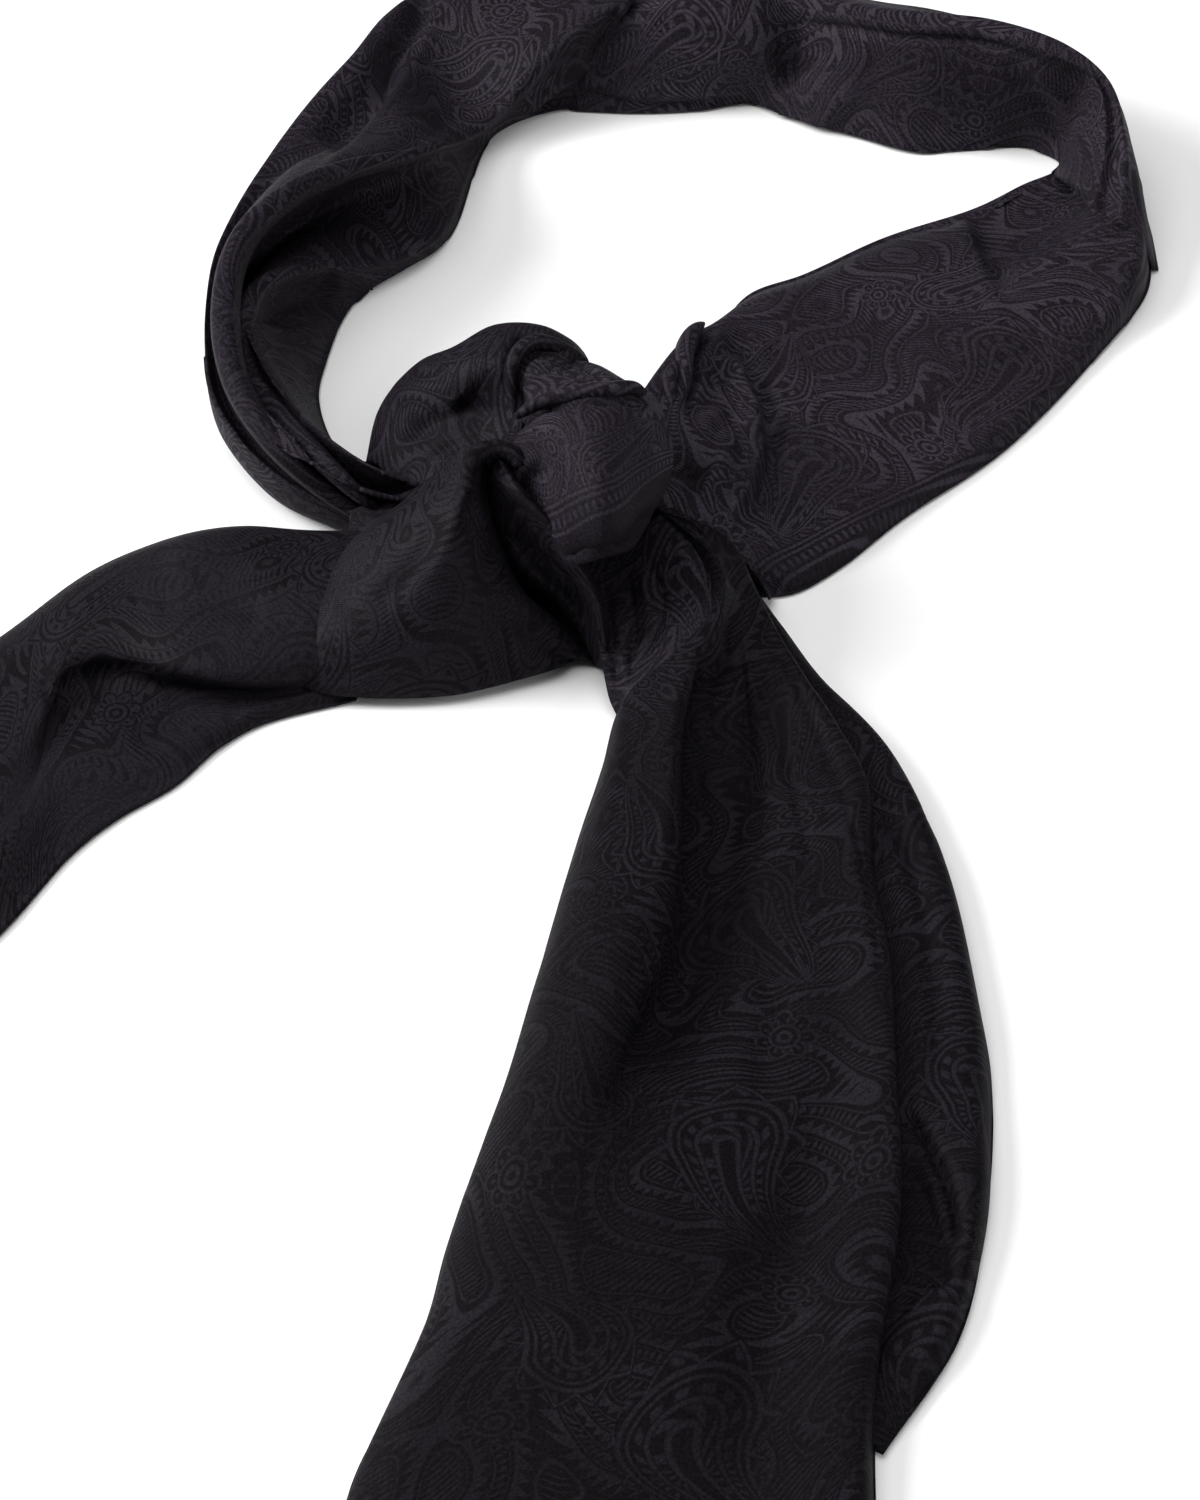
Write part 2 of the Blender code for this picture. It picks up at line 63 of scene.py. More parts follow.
# The stretches outside the knot. FOLDS names the cells of a section, and ACROSS the lines of the cloth from
# one side to the other: a fold, or a line between two folds, as line() takes it.
LOOP_LEFT_FOLDS = ("outer_foot", "outer_top", "crease", "ridge_a", "hollow", "ridge_b", "inner_foot")
LOOP_LEFT = (
    ((-30, 48, 0), (-30, 50, 8), (-30, 52, 8), (-30, 56, 16), (-29, 59, 12), (-28, 62, 14), (-27, 70, 0)),
    ((-52, 67, 0), (-54, 62, 10), (-52, 65, 9), (-49, 57, 20), (-47, 66, 12), (-44, 62, 20), (-44, 87, 0)),
    ((-68, 77, 0), (-69, 73, 12), (-68, 76, 10), (-62, 65, 23), (-61, 78, 13), (-57, 72, 22), (-56, 94, 0)),
    ((-78, 94, 0), (-82, 92, 15), (-81, 97, 12), (-75, 83, 26), (-74, 99, 14), (-70, 92, 23), (-62, 113, 0)),
    ((-83, 112, 0), (-86, 112, 17), (-84, 117, 15), (-81, 102, 30), (-80, 119, 15), (-76, 108, 25), (-61, 127, 0)),
    ((-85, 140, 0), (-86, 139, 20), (-83, 142, 18), (-80, 122, 34), (-78, 146, 12), (-73, 121, 24), (-58, 143, 0)),
    ((-81, 168, 0), (-80, 168, 20), (-75, 169, 19), (-68, 142, 36), (-69, 165, 11), (-64, 140, 17), (-54, 152, 0)),
    ((-74, 196, 0), (-71, 196, 20), (-64, 186, 20), (-56, 157, 33), (-57, 172, 14), (-55, 150, 10), (-49, 158, 0)),
    ((-66, 218, 0), (-60, 222, 20), (-54, 211, 20), (-41, 176, 24), (-41, 184, 14), (-38, 168, 5), (-36, 173, 0)),
    ((-56, 238, 0), (-52, 242, 20), (-47, 236, 20), (-26, 211, 9), (-26, 215, 5), (-26, 216, 3), (-25, 219, 0)),
    ((-44, 256, 0), (-42, 256, 19), (-37, 251, 21), (-11, 224, 20), (-10, 227, 13), (-10, 227, 5), (-10, 229, 0)),
    ((-14, 272, 0), (-10, 268, 19), (-6, 262, 23), (9, 237, 29), (6, 234, 22), (3, 232, 11), (0, 229, 0)),
)
LOOP_LEFT_ACROSS = (
    "outer_foot", ("outer_foot", "outer_top", 0.9, 0.45), "outer_top", "crease", ("crease", "ridge_a", 0.55, 0.75),
    "ridge_a", "hollow", ("hollow", "ridge_b", 0.6, 0.75), "ridge_b", ("ridge_b", "inner_foot", 0.45, 0.45),
    "inner_foot")

LOOP_BACK_FOLDS = ("inner_foot", "belly", "front_roll", "back_roll", "outer_top", "outer_foot")
LOOP_BACK = (
    ((-6, 229, 0), (-7, 232, 7), (-7, 235, 16), (-8, 239, 24), (-14, 260, 17), (-14, 266, 0)),
    ((10, 228, 0), (10, 229, 14), (11, 236, 26), (12, 252, 28), (4, 265, 20), (4, 268, 0)),
    ((24, 229, 0), (24, 229, 16), (25, 235, 31), (27, 250, 30), (30, 260, 20), (31, 264, 0)),
    ((37, 232, 0), (37, 229, 16), (38, 232, 31), (40, 246, 29), (51, 253, 20), (54, 257, 0)),
    ((45, 226, 0), (46, 232, 12), (46, 232, 28), (48, 242, 27), (64, 247, 20), (67, 251, 0)),
    ((61, 218, 0), (61, 219, 16), (61, 222, 31), (63, 232, 28), (84, 241, 20), (87, 245, 0)),
    ((75, 211, 0), (76, 213, 18), (76, 218, 31), (78, 229, 28), (96, 235, 20), (99, 239, 0)),
    ((89, 212, 0), (90, 213, 18), (90, 217, 31), (93, 226, 28), (107, 228, 20), (110, 231, 0)),
    ((102, 213, 0), (104, 210, 17), (105, 208, 30), (109, 216, 28), (117, 217, 19), (119, 220, 0)),
    ((110, 207, 0), (113, 206, 14), (116, 205, 25), (119, 205, 25), (123, 205, 16), (126, 205, 0)),
    ((110, 205, 0), (112, 199, 9), (117, 184, 21), (121, 181, 21), (125, 180, 15), (129, 180, 0)),
    ((108, 202, 0), (109, 193, 6), (113, 168, 14), (119, 162, 14), (125, 160, 9), (129, 162, 0)),
)
LOOP_BACK_ACROSS = (
    "inner_foot", ("inner_foot", "belly", 0.3, 0.4), "belly", ("belly", "front_roll", 0.6, 0.75), "front_roll",
    ("front_roll", "back_roll", 0.4, 0.4, -2.0), "back_roll", ("back_roll", "outer_top", 0.5, 0.4), "outer_top",
    "outer_foot")

LOOP_RIGHT_FOLDS = ("inner_foot", "inner_edge", "middle", "outer_edge", "outer_foot")
LOOP_RIGHT = (
    ((110, 205, 0), (112, 198, 6), (118, 182, 16), (125, 180, 14), (128, 180, 0)),
    ((108, 202, 0), (108, 193, 5), (112, 161, 12), (122, 150, 9), (126, 155, 0)),
    ((101, 197, 0), (101, 188, 5), (105, 152, 9), (112, 132, 4), (114, 133, 0)),
    ((89, 187, 0), (88, 178, 4), (88, 137, 7), (87, 97, 4), (88, 95, 0)),
    ((67, 175, 0), (67, 166, 4), (65, 116, 6), (64, 73, 4), (64, 71, 0)),
    ((47, 160, 0), (47, 151, 5), (48, 104, 7), (50, 57, 4), (50, 55, 0)),
    ((34, 152, 0), (34, 141, 7), (37, 98, 9), (40, 49, 4), (40, 47, 0)),
    ((24, 131, 0), (25, 127, 11), (29, 91, 12), (33, 51, 6), (33, 46, 0)),
    ((16, 116, 0), (18, 114, 16), (20, 80, 16), (22, 56, 9), (22, 48, 0)),
    ((6, 88, 0), (6, 86, 18), (6, 74, 18), (6, 62, 12), (6, 50, 0)),
)
LOOP_RIGHT_ACROSS = (
    "inner_foot", "inner_edge", ("inner_edge", "middle", 0.5, 0.55), "middle", ("middle", "outer_edge", 0.5, 0.35),
    "outer_edge", "outer_foot")

TAIL_LEFT_FOLDS = ("back_foot", "crest", "front_roll", "gap", "under", "front_foot")
TAIL_LEFT = (
    ((-40, 56, 0), (-42, 42, 16), (-45, 22, 8), (-46, 19, 3), (-47, 17, 3), (-49, 14, 0)),
    ((-62, 60, 0), (-62, 36, 15), (-63, 13, 8), (-63, 14, 3), (-66, 10, 3), (-67, 7, 0)),
    ((-74, 61, 0), (-73, 37, 15), (-75, 11, 9), (-76, 14, 3), (-75, 5, 3), (-75, 0, 0)),
    ((-84, 59, 0), (-83, 36, 15), (-85, 13, 10), (-87, 15, 3), (-85, -1, 3), (-83, -11, 0)),
    ((-94, 56, 0), (-93, 34, 13), (-95, 18, 9), (-97, 17, 4), (-97, -6, 4), (-93, -20, 0)),
    ((-105, 49, 0), (-105, 29, 11), (-105, 16, 8), (-107, 12, 4), (-106, -13, 4), (-101, -30, 0)),
    ((-123, 30, 0), (-116, 14, 7), (-112, -4, 6), (-111, -13, 4), (-112, -30, 4), (-112, -51, 0)),
    ((-150, 0, 0), (-140, -14, 5), (-129, -31, 5), (-127, -40, 4), (-126, -56, 4), (-127, -72, 0)),
    ((-188, -45, 0), (-177, -55, 4), (-163, -70, 4), (-157, -78, 4), (-152, -90, 4), (-150, -103, 0)),
    ((-232, -98, 0), (-220, -107, 3), (-203, -121, 3), (-194, -128, 3), (-184, -137, 3), (-178, -142, 0)),
)
TAIL_LEFT_ACROSS = (
    "back_foot", ("back_foot", "crest", 0.06, 0.5), ("back_foot", "crest", 0.35, 0.87), "crest",
    ("crest", "front_roll", 0.6, 0.3), "front_roll", "gap", "under", "front_foot")

TAIL_FRONT_FOLDS = ("left_foot", "crest", "valley", "dip", "right_roll", "right_foot")
TAIL_FRONT = (
    ((8, 46, 18), (10, 45, 26), (13, 44, 26), (15, 44, 26), (17, 43, 25), (20, 43, 18)),
    ((17, 37, 16), (19, 34, 28), (22, 35, 25), (24, 36, 24), (26, 37, 23), (29, 39, 12)),
    ((21, 29, 14), (24, 28, 25), (27, 30, 19), (29, 31, 16), (31, 32, 15), (34, 34, 4)),
    ((20, 20, 9), (24, 19, 20), (27, 18, 12), (33, 19, 11), (37, 19, 11), (38, 19, 0)),
    ((11, 10, 4), (20, 10, 18), (25, 8, 9), (34, 8, 9), (41, 9, 10), (42, 10, 0)),
    ((4, 6, 0), (16, 1, 16), (21, 0, 7), (37, -1, 8), (46, -3, 10), (48, -5, 0)),
    ((0, -11, 0), (14, -16, 15), (18, -18, 4), (39, -19, 8), (51, -18, 9), (52, -20, 0)),
    ((-7, -42, 0), (12, -40, 15), (17, -41, 5), (42, -36, 8), (50, -36, 9), (53, -37, 0)),
    ((-12, -67, 0), (6, -68, 15), (14, -69, 6), (42, -64, 7), (52, -65, 9), (54, -65, 0)),
    ((-18, -94, 0), (-1, -97, 13), (11, -94, 8), (41, -91, 6), (52, -90, 9), (53, -91, 0)),
    ((-26, -126, 0), (-7, -129, 11), (9, -123, 10), (35, -122, 5), (51, -120, 8), (51, -122, 0)),
    ((-29, -142, 0), (-9, -144, 10), (8, -141, 9), (30, -140, 5), (48, -139, 8), (48, -141, 0)),
    ((-40, -175, 0), (-17, -171, 9), (4, -170, 8), (26, -168, 5), (43, -163, 7), (45, -165, 0)),
    ((-53, -230, 0), (-24, -230, 6), (-6, -230, 6), (22, -230, 4), (40, -230, 5), (43, -230, 0)),
    ((-64, -285, 0), (-34, -285, 3), (-16, -285, 3), (16, -285, 3), (34, -285, 3), (37, -285, 0)),
)
TAIL_FRONT_ACROSS = (
    "left_foot", ("left_foot", "crest", 0.06, 0.5), ("left_foot", "crest", 0.35, 0.87), "crest", "valley",
    ("valley", "dip", 0.45), "dip", "right_roll", "right_foot")

TAIL_UNDER_FOLDS = ("lap", "slope", "edge", "foot")
TAIL_UNDER = (
    ((12, 50, 3), (15, 48, 14), (19, 46, 13), (22, 44, 3)),
    ((21, 40, 3), (26, 39, 13), (30, 38, 10), (33, 37, 3)),
    ((28, 30, 2), (32, 31, 9), (36, 31, 6), (37, 30, 0)),
    ((31, 10, 2), (39, 16, 7), (44, 15, 5), (46, 15, 0)),
    ((34, -10, 2), (47, -3, 6), (54, -1, 5), (56, -2, 0)),
    ((36, -35, 2), (53, -20, 5), (60, -18, 5), (62, -20, 0)),
    ((37, -60, 2), (56, -35, 5), (64, -35, 5), (66, -36, 0)),
    ((39, -85, 2), (57, -64, 5), (67, -64, 5), (69, -65, 0)),
    ((40, -105, 2), (56, -93, 5), (67, -92, 5), (70, -93, 0)),
    ((40, -130, 2), (55, -122, 4), (64, -123, 5), (66, -124, 0)),
    ((39, -146, 2), (52, -138, 3), (58, -144, 4), (60, -146, 0)),
    ((37, -160, 2), (40, -164, 2), (43, -167, 2), (46, -169, 0)),
)
TAIL_UNDER_ACROSS = ("lap", ("lap", "slope", 0.5, 0.7), "slope", "edge", "foot")

KNOT_LOBE = {
    "back_foot": ((-50, 82, 0), (-46, 91, 0), (-37, 96, 0), (-26, 99, 0), (-14, 99, 0), (-3, 94, 0), (6, 85, 0)),
    "back": ((-50, 80, 8), (-47, 90, 16), (-39, 93, 25), (-31, 91, 31), (-22, 92, 36), (-12, 90, 37), (-2, 84, 35)),
    "crest": ((-48, 76, 12), (-43, 81, 22), (-35, 78, 30), (-27, 75, 36), (-20, 76, 40), (-11, 76, 42), (-3, 69, 41)),
    "hollow": ((-45, 71, 13), (-38, 70, 20), (-31, 69, 26), (-24, 69, 30), (-18, 68, 35), (-12, 63, 40), (-4, 60, 41)),
    "tuck": ((-41, 62, 10), (-35, 58, 16), (-28, 56, 22), (-22, 55, 26), (-17, 54, 31), (-12, 53, 36), (-6, 52, 38)),
}
KNOT_WRAP = {
    "left": ((-9, 78, 38), (-15, 67, 40), (-15, 55, 41), (-17, 52, 38), (-18, 50, 34), (-18, 46, 31), (-15, 41, 30),
             (-11, 37, 27), (-6.5, 34.5, 22)),
    "middle": ((-2, 76, 39), (-3, 65, 43), (-2, 54, 47), (-1, 42, 49), (-1, 33, 48), (0, 25, 46), (1, 20.5, 41),
               (1, 20, 36), (1, 32, 24)),
    "right": ((4, 74, 35), (9, 66, 39), (12, 61, 39), (14, 56, 36), (15, 52, 33), (14, 47, 30), (12, 41, 29),
              (9.5, 37, 27), (7, 40.5, 20)),
}
KNOT_CONE = {
    "back": ((-28, 47, 38), (-35, 49, 29), (-43, 49, 21), (-53, 47, 13), (-60, 41, 8), (-64, 35, 5)),
    "ridge": ((-27, 45, 41), (-32, 39, 36), (-38, 39, 30), (-48, 38, 21), (-57, 32, 13), (-64, 24, 5)),
    "face_left": ((-26, 43, 42), (-31, 32, 38), (-36, 31, 32), (-45, 26, 23), (-53, 20, 14), (-60, 15, 4)),
    "face": ((-25, 42, 43), (-27, 30, 39), (-28.5, 23, 32), (-30, 19, 22), (-31, 15, 12), (-31, 13.5, 3)),
    "face_right": ((-24, 41.5, 42), (-25, 35, 37), (-22.5, 30.5, 29), (-18, 27.5, 19), (-10, 26.5, 11),
                   (-2.5, 23.5, 3)),
    "crease": ((-22.5, 43.5, 39), (-21.5, 40.5, 29), (-19, 37.5, 20), (-15, 35, 11), (-8, 32.5, 5), (0, 24.5, 1)),
}
KNOT_PLEAT = {
    "tuck": ((-23, 45.5, 33), (-22.4, 42, 26), (-21.2, 39.5, 17), (-17, 36.5, 8), (-10, 34, 3),
             (-4, 28, 1.5), (-0.5, 23.5, 1)),
    "pocket": ((-22.7, 45, 36), (-22.6, 40.4, 30), (-20.3, 37.5, 21), (-16, 34.5, 13), (-9, 32.5, 7),
               (-3.5, 27, 4), (-0.2, 22.8, 1.5)),
    "island": ((-22.4, 44.5, 38), (-21.6, 38.8, 33), (-18.8, 35.3, 25), (-14, 31, 20), (-7, 29.5, 13),
               (-2.5, 25, 7), (0.2, 22, 2.5)),
    "groove": ((-22.1, 44, 40), (-20.2, 37, 35.5), (-16, 34, 27), (-10.5, 31.5, 20), (-4.5, 29, 14),
               (-1.5, 23.5, 9), (0.5, 21.3, 3.2)),
    "slope": ((-21.7, 43.6, 41.5), (-18.5, 35, 38), (-12.5, 30.5, 31.5), (-7, 27, 26), (-2.5, 25, 18.5),
              (-0.3, 21.5, 12), (0.9, 20.6, 4)),
    "edge": ((-21.2, 43.2, 42), (-16, 33.5, 39), (-8.5, 28, 33), (-4, 23.5, 27.5), (-0.5, 21, 20.5),
             (0.8, 19.5, 12.5), (1.4, 20, 4)),
    "drop": ((-19.5, 45.5, 38), (-13.5, 38, 33), (-6, 33, 27), (-1.5, 28, 21), (1.5, 24.5, 14), (2.3, 22, 7),
             (2.3, 21, 2)),
}
KNOT_MOUTH = {
    "left": ((-6, 42, 18), (-3, 32, 14), (-1, 25, 12), (0, 20, 9), (1, 15, 5), (2, 11, 3), (4, 7, 1)),
    "bowl": ((6, 40, 22), (8, 33, 14), (9, 25, 12), (9, 18, 9), (7, 12, 7), (6, 9, 5), (6, 6, 2)),
    "rim": ((12, 42, 26), (20, 33, 25), (24, 25, 22), (21, 16, 18), (16, 10, 14), (11, 7, 10), (8, 5, 4)),
}

# How the wrap's lower end is rounded: the sections counted from its end, and each one's share of the move.
ROUNDED = (0.0, -3.0, -1.5)             # mm
WRAP_MIDDLE_ROUND = (0.0, -0.5, -2.0)   # mm
ROUNDED_SECTIONS = (-6, -5, -4, -3, -2)
WRAP_LEFT_ROUND = (0.3, 0.7, 1.2, 1.8, 2.6)
WRAP_RIGHT_ROUND = (0.3, 0.7, 1.2, 1.6, 1.6)

# Cloth inside and behind the knot, which closes it where the camera doesn't see it: a row for each section.
KNOT_HOLLOW = (
    ((-52, 50, 10), (-52, 55, 11), (-52, 60, 12)),
    ((-46, 49, 17), (-46, 54, 15), (-46, 60, 15)),
    ((-40, 49, 22), (-40, 54, 18), (-40, 61, 16.5)),
    ((-34, 48, 29.5), (-34, 54, 23.5), (-34, 62, 20)),
    ((-28, 47, 36.5), (-28, 54, 29), (-28, 62, 24)),
    ((-22, 46, 38.5), (-22, 54, 32), (-22, 62, 28)),
    ((-16, 46, 38), (-16, 54, 36), (-16, 62, 34)),
)
KNOT_SIDE = (
    ((-6, 47, 28), (0, 47, 24), (6, 47, 17), (12, 47, 15)),
    ((-6, 56, 26), (0, 56, 22), (6, 56, 15), (13, 56, 9)),
    ((-6, 64, 26), (0, 64, 22), (6, 64, 16), (13, 64, 11)),
    ((-6, 72, 26), (0, 72, 22), (6, 72, 17), (14, 72, 14)),
    ((-6, 80, 25), (0, 80, 21), (6, 80, 17), (14, 80, 14)),
    ((-6, 86, 21), (0, 86, 18), (6, 86, 15), (14, 86, 13)),
    ((-6, 91, 12), (0, 91, 10), (6, 91, 9), (14, 91, 9)),
    ((-6, 94, 1), (0, 94, 1), (6, 94, 1), (14, 94, 1)),
)
TAIL_TUCK = (
    ((8, 58, 9), (8, 52, 12), (8, 46, 16), (9, 40, 14)),
    ((13, 58, 8), (13, 52, 11), (13, 46, 17), (13, 41, 20)),
    ((19, 58, 8), (19, 52, 10), (19, 46, 17), (19, 42, 23)),
    ((25, 57, 7.5), (25, 52, 8), (25, 46, 14), (25, 42, 20)),
    ((30, 57, 6.5), (30, 52, 5.5), (30, 46, 8), (30, 41, 14)),
    ((34, 56, 5), (34, 51, 3.5), (34, 46, 4), (34, 40, 8)),
    ((36, 54, 3.5), (36, 50, 2.5), (36, 46, 2), (35, 41, 4)),
)


def smooth(points, steps):
    """A smooth curve through the points, with this many steps from each to the next."""
    chord = np.diff(points, axis=0)
    pace = np.sqrt(np.maximum(np.linalg.norm(chord, axis=1), SHORTEST_CHORD))[:, None]
    speed = chord / pace
    turning = (speed[:-1] * pace[1:] + speed[1:] * pace[:-1]) / (pace[:-1] + pace[1:])
    tangents = np.concatenate([speed[:1], turning, speed[-1:]])
    share = np.arange(steps)[:, None] / steps
    ease = share * share * (3 - 2 * share)
    start_pull = share * (1 - share) ** 2
    end_pull = share * share * (share - 1)
    spans = [points[i] * (1 - ease) + points[i + 1] * ease
             + (tangents[i] * start_pull + tangents[i + 1] * end_pull) * pace[i]
             for i in range(len(points) - 1)]
    return np.concatenate(spans + [points[-1:]])


def surface(lines, fine_along, fine_across):
    """The cloth through its folds, as a grid of points: one row for each fine section."""
    along = np.array([smooth(points, fine_along) for points in lines])
    rows = np.array([smooth(along[:, i], fine_across) for i in range(along.shape[1])])
    rows[:, :, 2] = np.maximum(rows[:, :, 2], EDGE)
    return rows


def normals(grid):
    """The outward normal at each point of the grid: upwards, or away from the heap."""
    out = np.cross(np.gradient(grid, axis=0), np.gradient(grid, axis=1))
    out /= np.maximum(np.linalg.norm(out, axis=2, keepdims=True), TINY)
    return out if out[:, :, 2].mean() > 0 else -out


def turned_down(grid, reach, drop):
    """The grid with its first and last rows turned down over this reach, as a fold or a hem does."""
    grid = grid.copy()
    steps = np.linalg.norm(np.diff(grid, axis=0), axis=2)
    from_first = np.concatenate([np.zeros((1, grid.shape[1])), np.cumsum(steps, axis=0)])
    for distance, depth in ((from_first, drop[0]), (from_first[-1] - from_first, drop[1])):
        share = 1 - np.clip(distance / reach, 0, 1)
        grid[:, :, 2] -= depth * (1 - np.sqrt(1 - share * share))
    return grid


def on_photo(grid):
    """Each point's place in the photograph, in pixels, and how many millimetres a pixel covers there."""
    from_eye = grid + AWAY * VIEW_DISTANCE
    depth = from_eye @ AWAY
    right = grid[:, :, 0] / depth / PIXEL + FRAME_PIXELS[0] / 2
    down = FRAME_PIXELS[1] / 2 - (from_eye @ PICTURE_UP) / depth / PIXEL
    return np.stack([right, down], axis=2), depth * PIXEL


def from_path(places, path):
    """The distance from each place to a path, and the share of the path's length where it is nearest."""
    path = np.array(path, float)
    lengths = np.linalg.norm(np.diff(path, axis=0), axis=1)
    starts = np.concatenate([[0], np.cumsum(lengths)])
    nearest = np.full(places.shape[:2], np.inf)
    share = np.zeros(places.shape[:2])
    for first, second, start, length in zip(path[:-1], path[1:], starts, lengths):
        leg = second - first
        t = np.clip(((places - first) @ leg) / (length * length), 0, 1)
        distance = np.linalg.norm(places - first - t[:, :, None] * leg, axis=2)
        closer = distance < nearest
        nearest = np.where(closer, distance, nearest)
        share = np.where(closer, (start + t * length) / starts[-1], share)
    return nearest, share


STROKE_STEPS = 6          # from each of a stroke's points to the next
STROKE_TAPER = 2.5        # how fast a stroke comes to its depth at its ends
STROKE_TIP = 0.02         # of its length
FACES_CAMERA = 4.0        # how fast a stroke fades where the cloth turns away from the camera


def pressed(grid, strokes):
    """The grid with its creases: each stroke is a soft trough, or a ridge where its depth is negative."""
    grid = grid.copy()
    places, scale = on_photo(grid)
    out = normals(grid)
    facing = np.clip((out @ -AWAY) * FACES_CAMERA, 0, 1)
    for width, depth, path in strokes:
        curve = smooth(np.array(path, float), STROKE_STEPS)
        distance, share = from_path(places, curve)
        profile = np.exp(-(distance * scale / (width / 2)) ** 2)
        taper = np.clip(np.sin(np.pi * np.clip(share, STROKE_TIP, 1 - STROKE_TIP)) * STROKE_TAPER, 0, 1)
        grid -= (out * (profile * taper * facing * depth)[:, :, None])
    return grid


def line(first, second, share, height=None, lift=0.0):
    """A line between two folds at this share of the way, with its own share of the height and a lift."""
    place = first + (second - first) * share
    place[:, 2] = first[:, 2] + (second[:, 2] - first[:, 2]) * (share if height is None else height) + lift
    return place


def fold_lines(names, rows, across):
    """A stretch's lines from one side to the other, from its table of sections."""
    fold = {name: np.array([row[i] for row in rows], float) for i, name in enumerate(names)}
    return [fold[part] if isinstance(part, str) else line(fold[part[0]], fold[part[1]], *part[2:])
            for part in across]


def knot_lines(folds):
    """The folds of one of the knot's own pieces, as drawn."""
    return [np.array(points, float) for points in folds.values()]


def knot_wrap_lines():
    """The turn of cloth that goes over the knot is crowned across its width, and round at its lower end."""
    left, middle, right = knot_lines(KNOT_WRAP)
    left_side, right_side = line(left, middle, 0.4, 0.72), line(middle, right, 0.6, 0.35)
    middle[-2] += WRAP_MIDDLE_ROUND
    for side, rounding in ((left_side, WRAP_LEFT_ROUND), (right_side, WRAP_RIGHT_ROUND)):
        for section, share in zip(ROUNDED_SECTIONS, rounding):
            side[section] += np.array(ROUNDED) * share
    return [left, left_side, middle, right_side, right]


def sections(table):
    """The lines that run from section to section of a table."""
    return list(np.array(table, float).transpose(1, 0, 2))


ROLL_NEAR = 7.0           # pixels around a path's point in which the cloth nearest to the camera is found
ROLL_FAR = 1.4            # the same where no cloth is that near, over the distance of the nearest
ROLL_STEPS = 3
ROLL_TIP = 0.01           # of its length
ROLL_BLUNT = 0.45         # the lower, the blunter a roll's ends
ROLL_SUNK = 0.15          # of its radius
# A roll across its path, in radii: out to the side and up. Its feet run down into the cloth beside it.
ROLL_SECTION = ((1.1, -1.9), (1.1, -0.9), (1.0, 0.0), (0.72, 0.72), (0.0, 1.0), (-0.72, 0.72), (-1.0, 0.0),
                (-1.1, -0.9), (-1.1, -1.9))
ROLL_TOP = 4              # the place of the roll's top in its section


def on_surface(grid, path):
    """Where a path on the photograph lies on the surface, at the point nearest to the camera."""
    places, _ = on_photo(grid)
    depths = []
    for spot in path:
        distance = np.linalg.norm(places - np.array(spot, float), axis=2)
        near = distance < max(ROLL_NEAR, distance.min() * ROLL_FAR)
        depths.append((grid @ AWAY)[near].min() + VIEW_DISTANCE)
    for _ in range(2):
        padded = np.pad(depths, 1, mode="edge")
        depths = (padded[:-2] + 2 * padded[1:-1] + padded[2:]) / 4
    middle_x, middle_y = FRAME_PIXELS[0] / 2, FRAME_PIXELS[1] / 2
    return [depth * (AWAY + np.array((x - middle_x, 0, 0)) * PIXEL + PICTURE_UP * (middle_y - y) * PIXEL)
            - AWAY * VIEW_DISTANCE for (x, y), depth in zip(path, depths)]


def rolled(path, radius):
    """A narrow roll along a path: lines from its foot on one side, over its top, to its foot on the other."""
    path = smooth(np.array(path, float), ROLL_STEPS)
    way = np.gradient(path, axis=0)
    way /= np.linalg.norm(way, axis=1)[:, None]
    side = np.cross(way, -AWAY)
    side /= np.linalg.norm(side, axis=1)[:, None]
    up = np.cross(side, way)
    share = np.clip(np.linspace(0, 1, len(path)), ROLL_TIP, 1 - ROLL_TIP)
    ends = np.sin(np.pi * share) ** ROLL_BLUNT
    path = path - up * (ROLL_SUNK * radius * (2 - ends))[:, None]
    return [path + (side * out + up * rise) * (ends * radius)[:, None] for out, rise in ROLL_SECTION]


def node(tree, kind, **values):
    """A shader node with its properties set."""
    made = tree.nodes.new(kind)
    for key, value in values.items():
        setattr(made, key, value)
    return made


def feed(tree, socket, value):
    """Sets a socket to a number or a colour, or links an output to it."""
    if isinstance(value, (int, float, tuple)):
        socket.default_value = value
    else:
        tree.links.new(value, socket)


class Maths:
    """Writes arithmetic into a node tree, so that a pattern reads as its formula."""

    def __init__(self, tree):
        self.tree = tree

    def put(self, operation, *values):
        made = node(self.tree, "ShaderNodeMath", operation=operation)
        for socket, value in zip(made.inputs, values):
            feed(self.tree, socket, value)
        return made.outputs[0]

    def add(self, a, b):
        return self.put("ADD", a, b)

    def less(self, a, b):
        return self.put("SUBTRACT", a, b)

    def times(self, a, b):
        return self.put("MULTIPLY", a, b)

    def over(self, a, b):
        return self.put("DIVIDE", a, b)

    def least(self, a, b):
        return self.put("MINIMUM", a, b)

    def most(self, first, *others):
        for other in others:
            first = self.put("MAXIMUM", first, other)
        return first

    def length(self, a, b):
        return self.put("SQRT", self.add(self.times(a, a), self.times(b, b)))

    def ramp(self, value, low, high):
        """0 below low, 1 above high, and a soft step between, or the other way round."""
        made = node(self.tree, "ShaderNodeMapRange", interpolation_type="SMOOTHSTEP")
        for socket, part in zip(made.inputs[:3], (value, low, high)):
            feed(self.tree, socket, part)
        return made.outputs[0]

    def wave(self, value, count, half):
        """Stripes: this many to each unit of the value, each this share of its pitch to either side."""
        return self.band(self.put("FRACT", self.times(value, count)), 0.5, half, 0.08)

    def band(self, value, centre, half, soft):
        """1 where the value is within half of the centre, with soft edges."""
        away = self.put("ABSOLUTE", self.less(value, centre))
        return self.ramp(away, half + soft, half - soft)

    def bands(self, value, table):
        """1 where the value is within any of these bands."""
        return self.most(*(self.band(value, *row) for row in table))


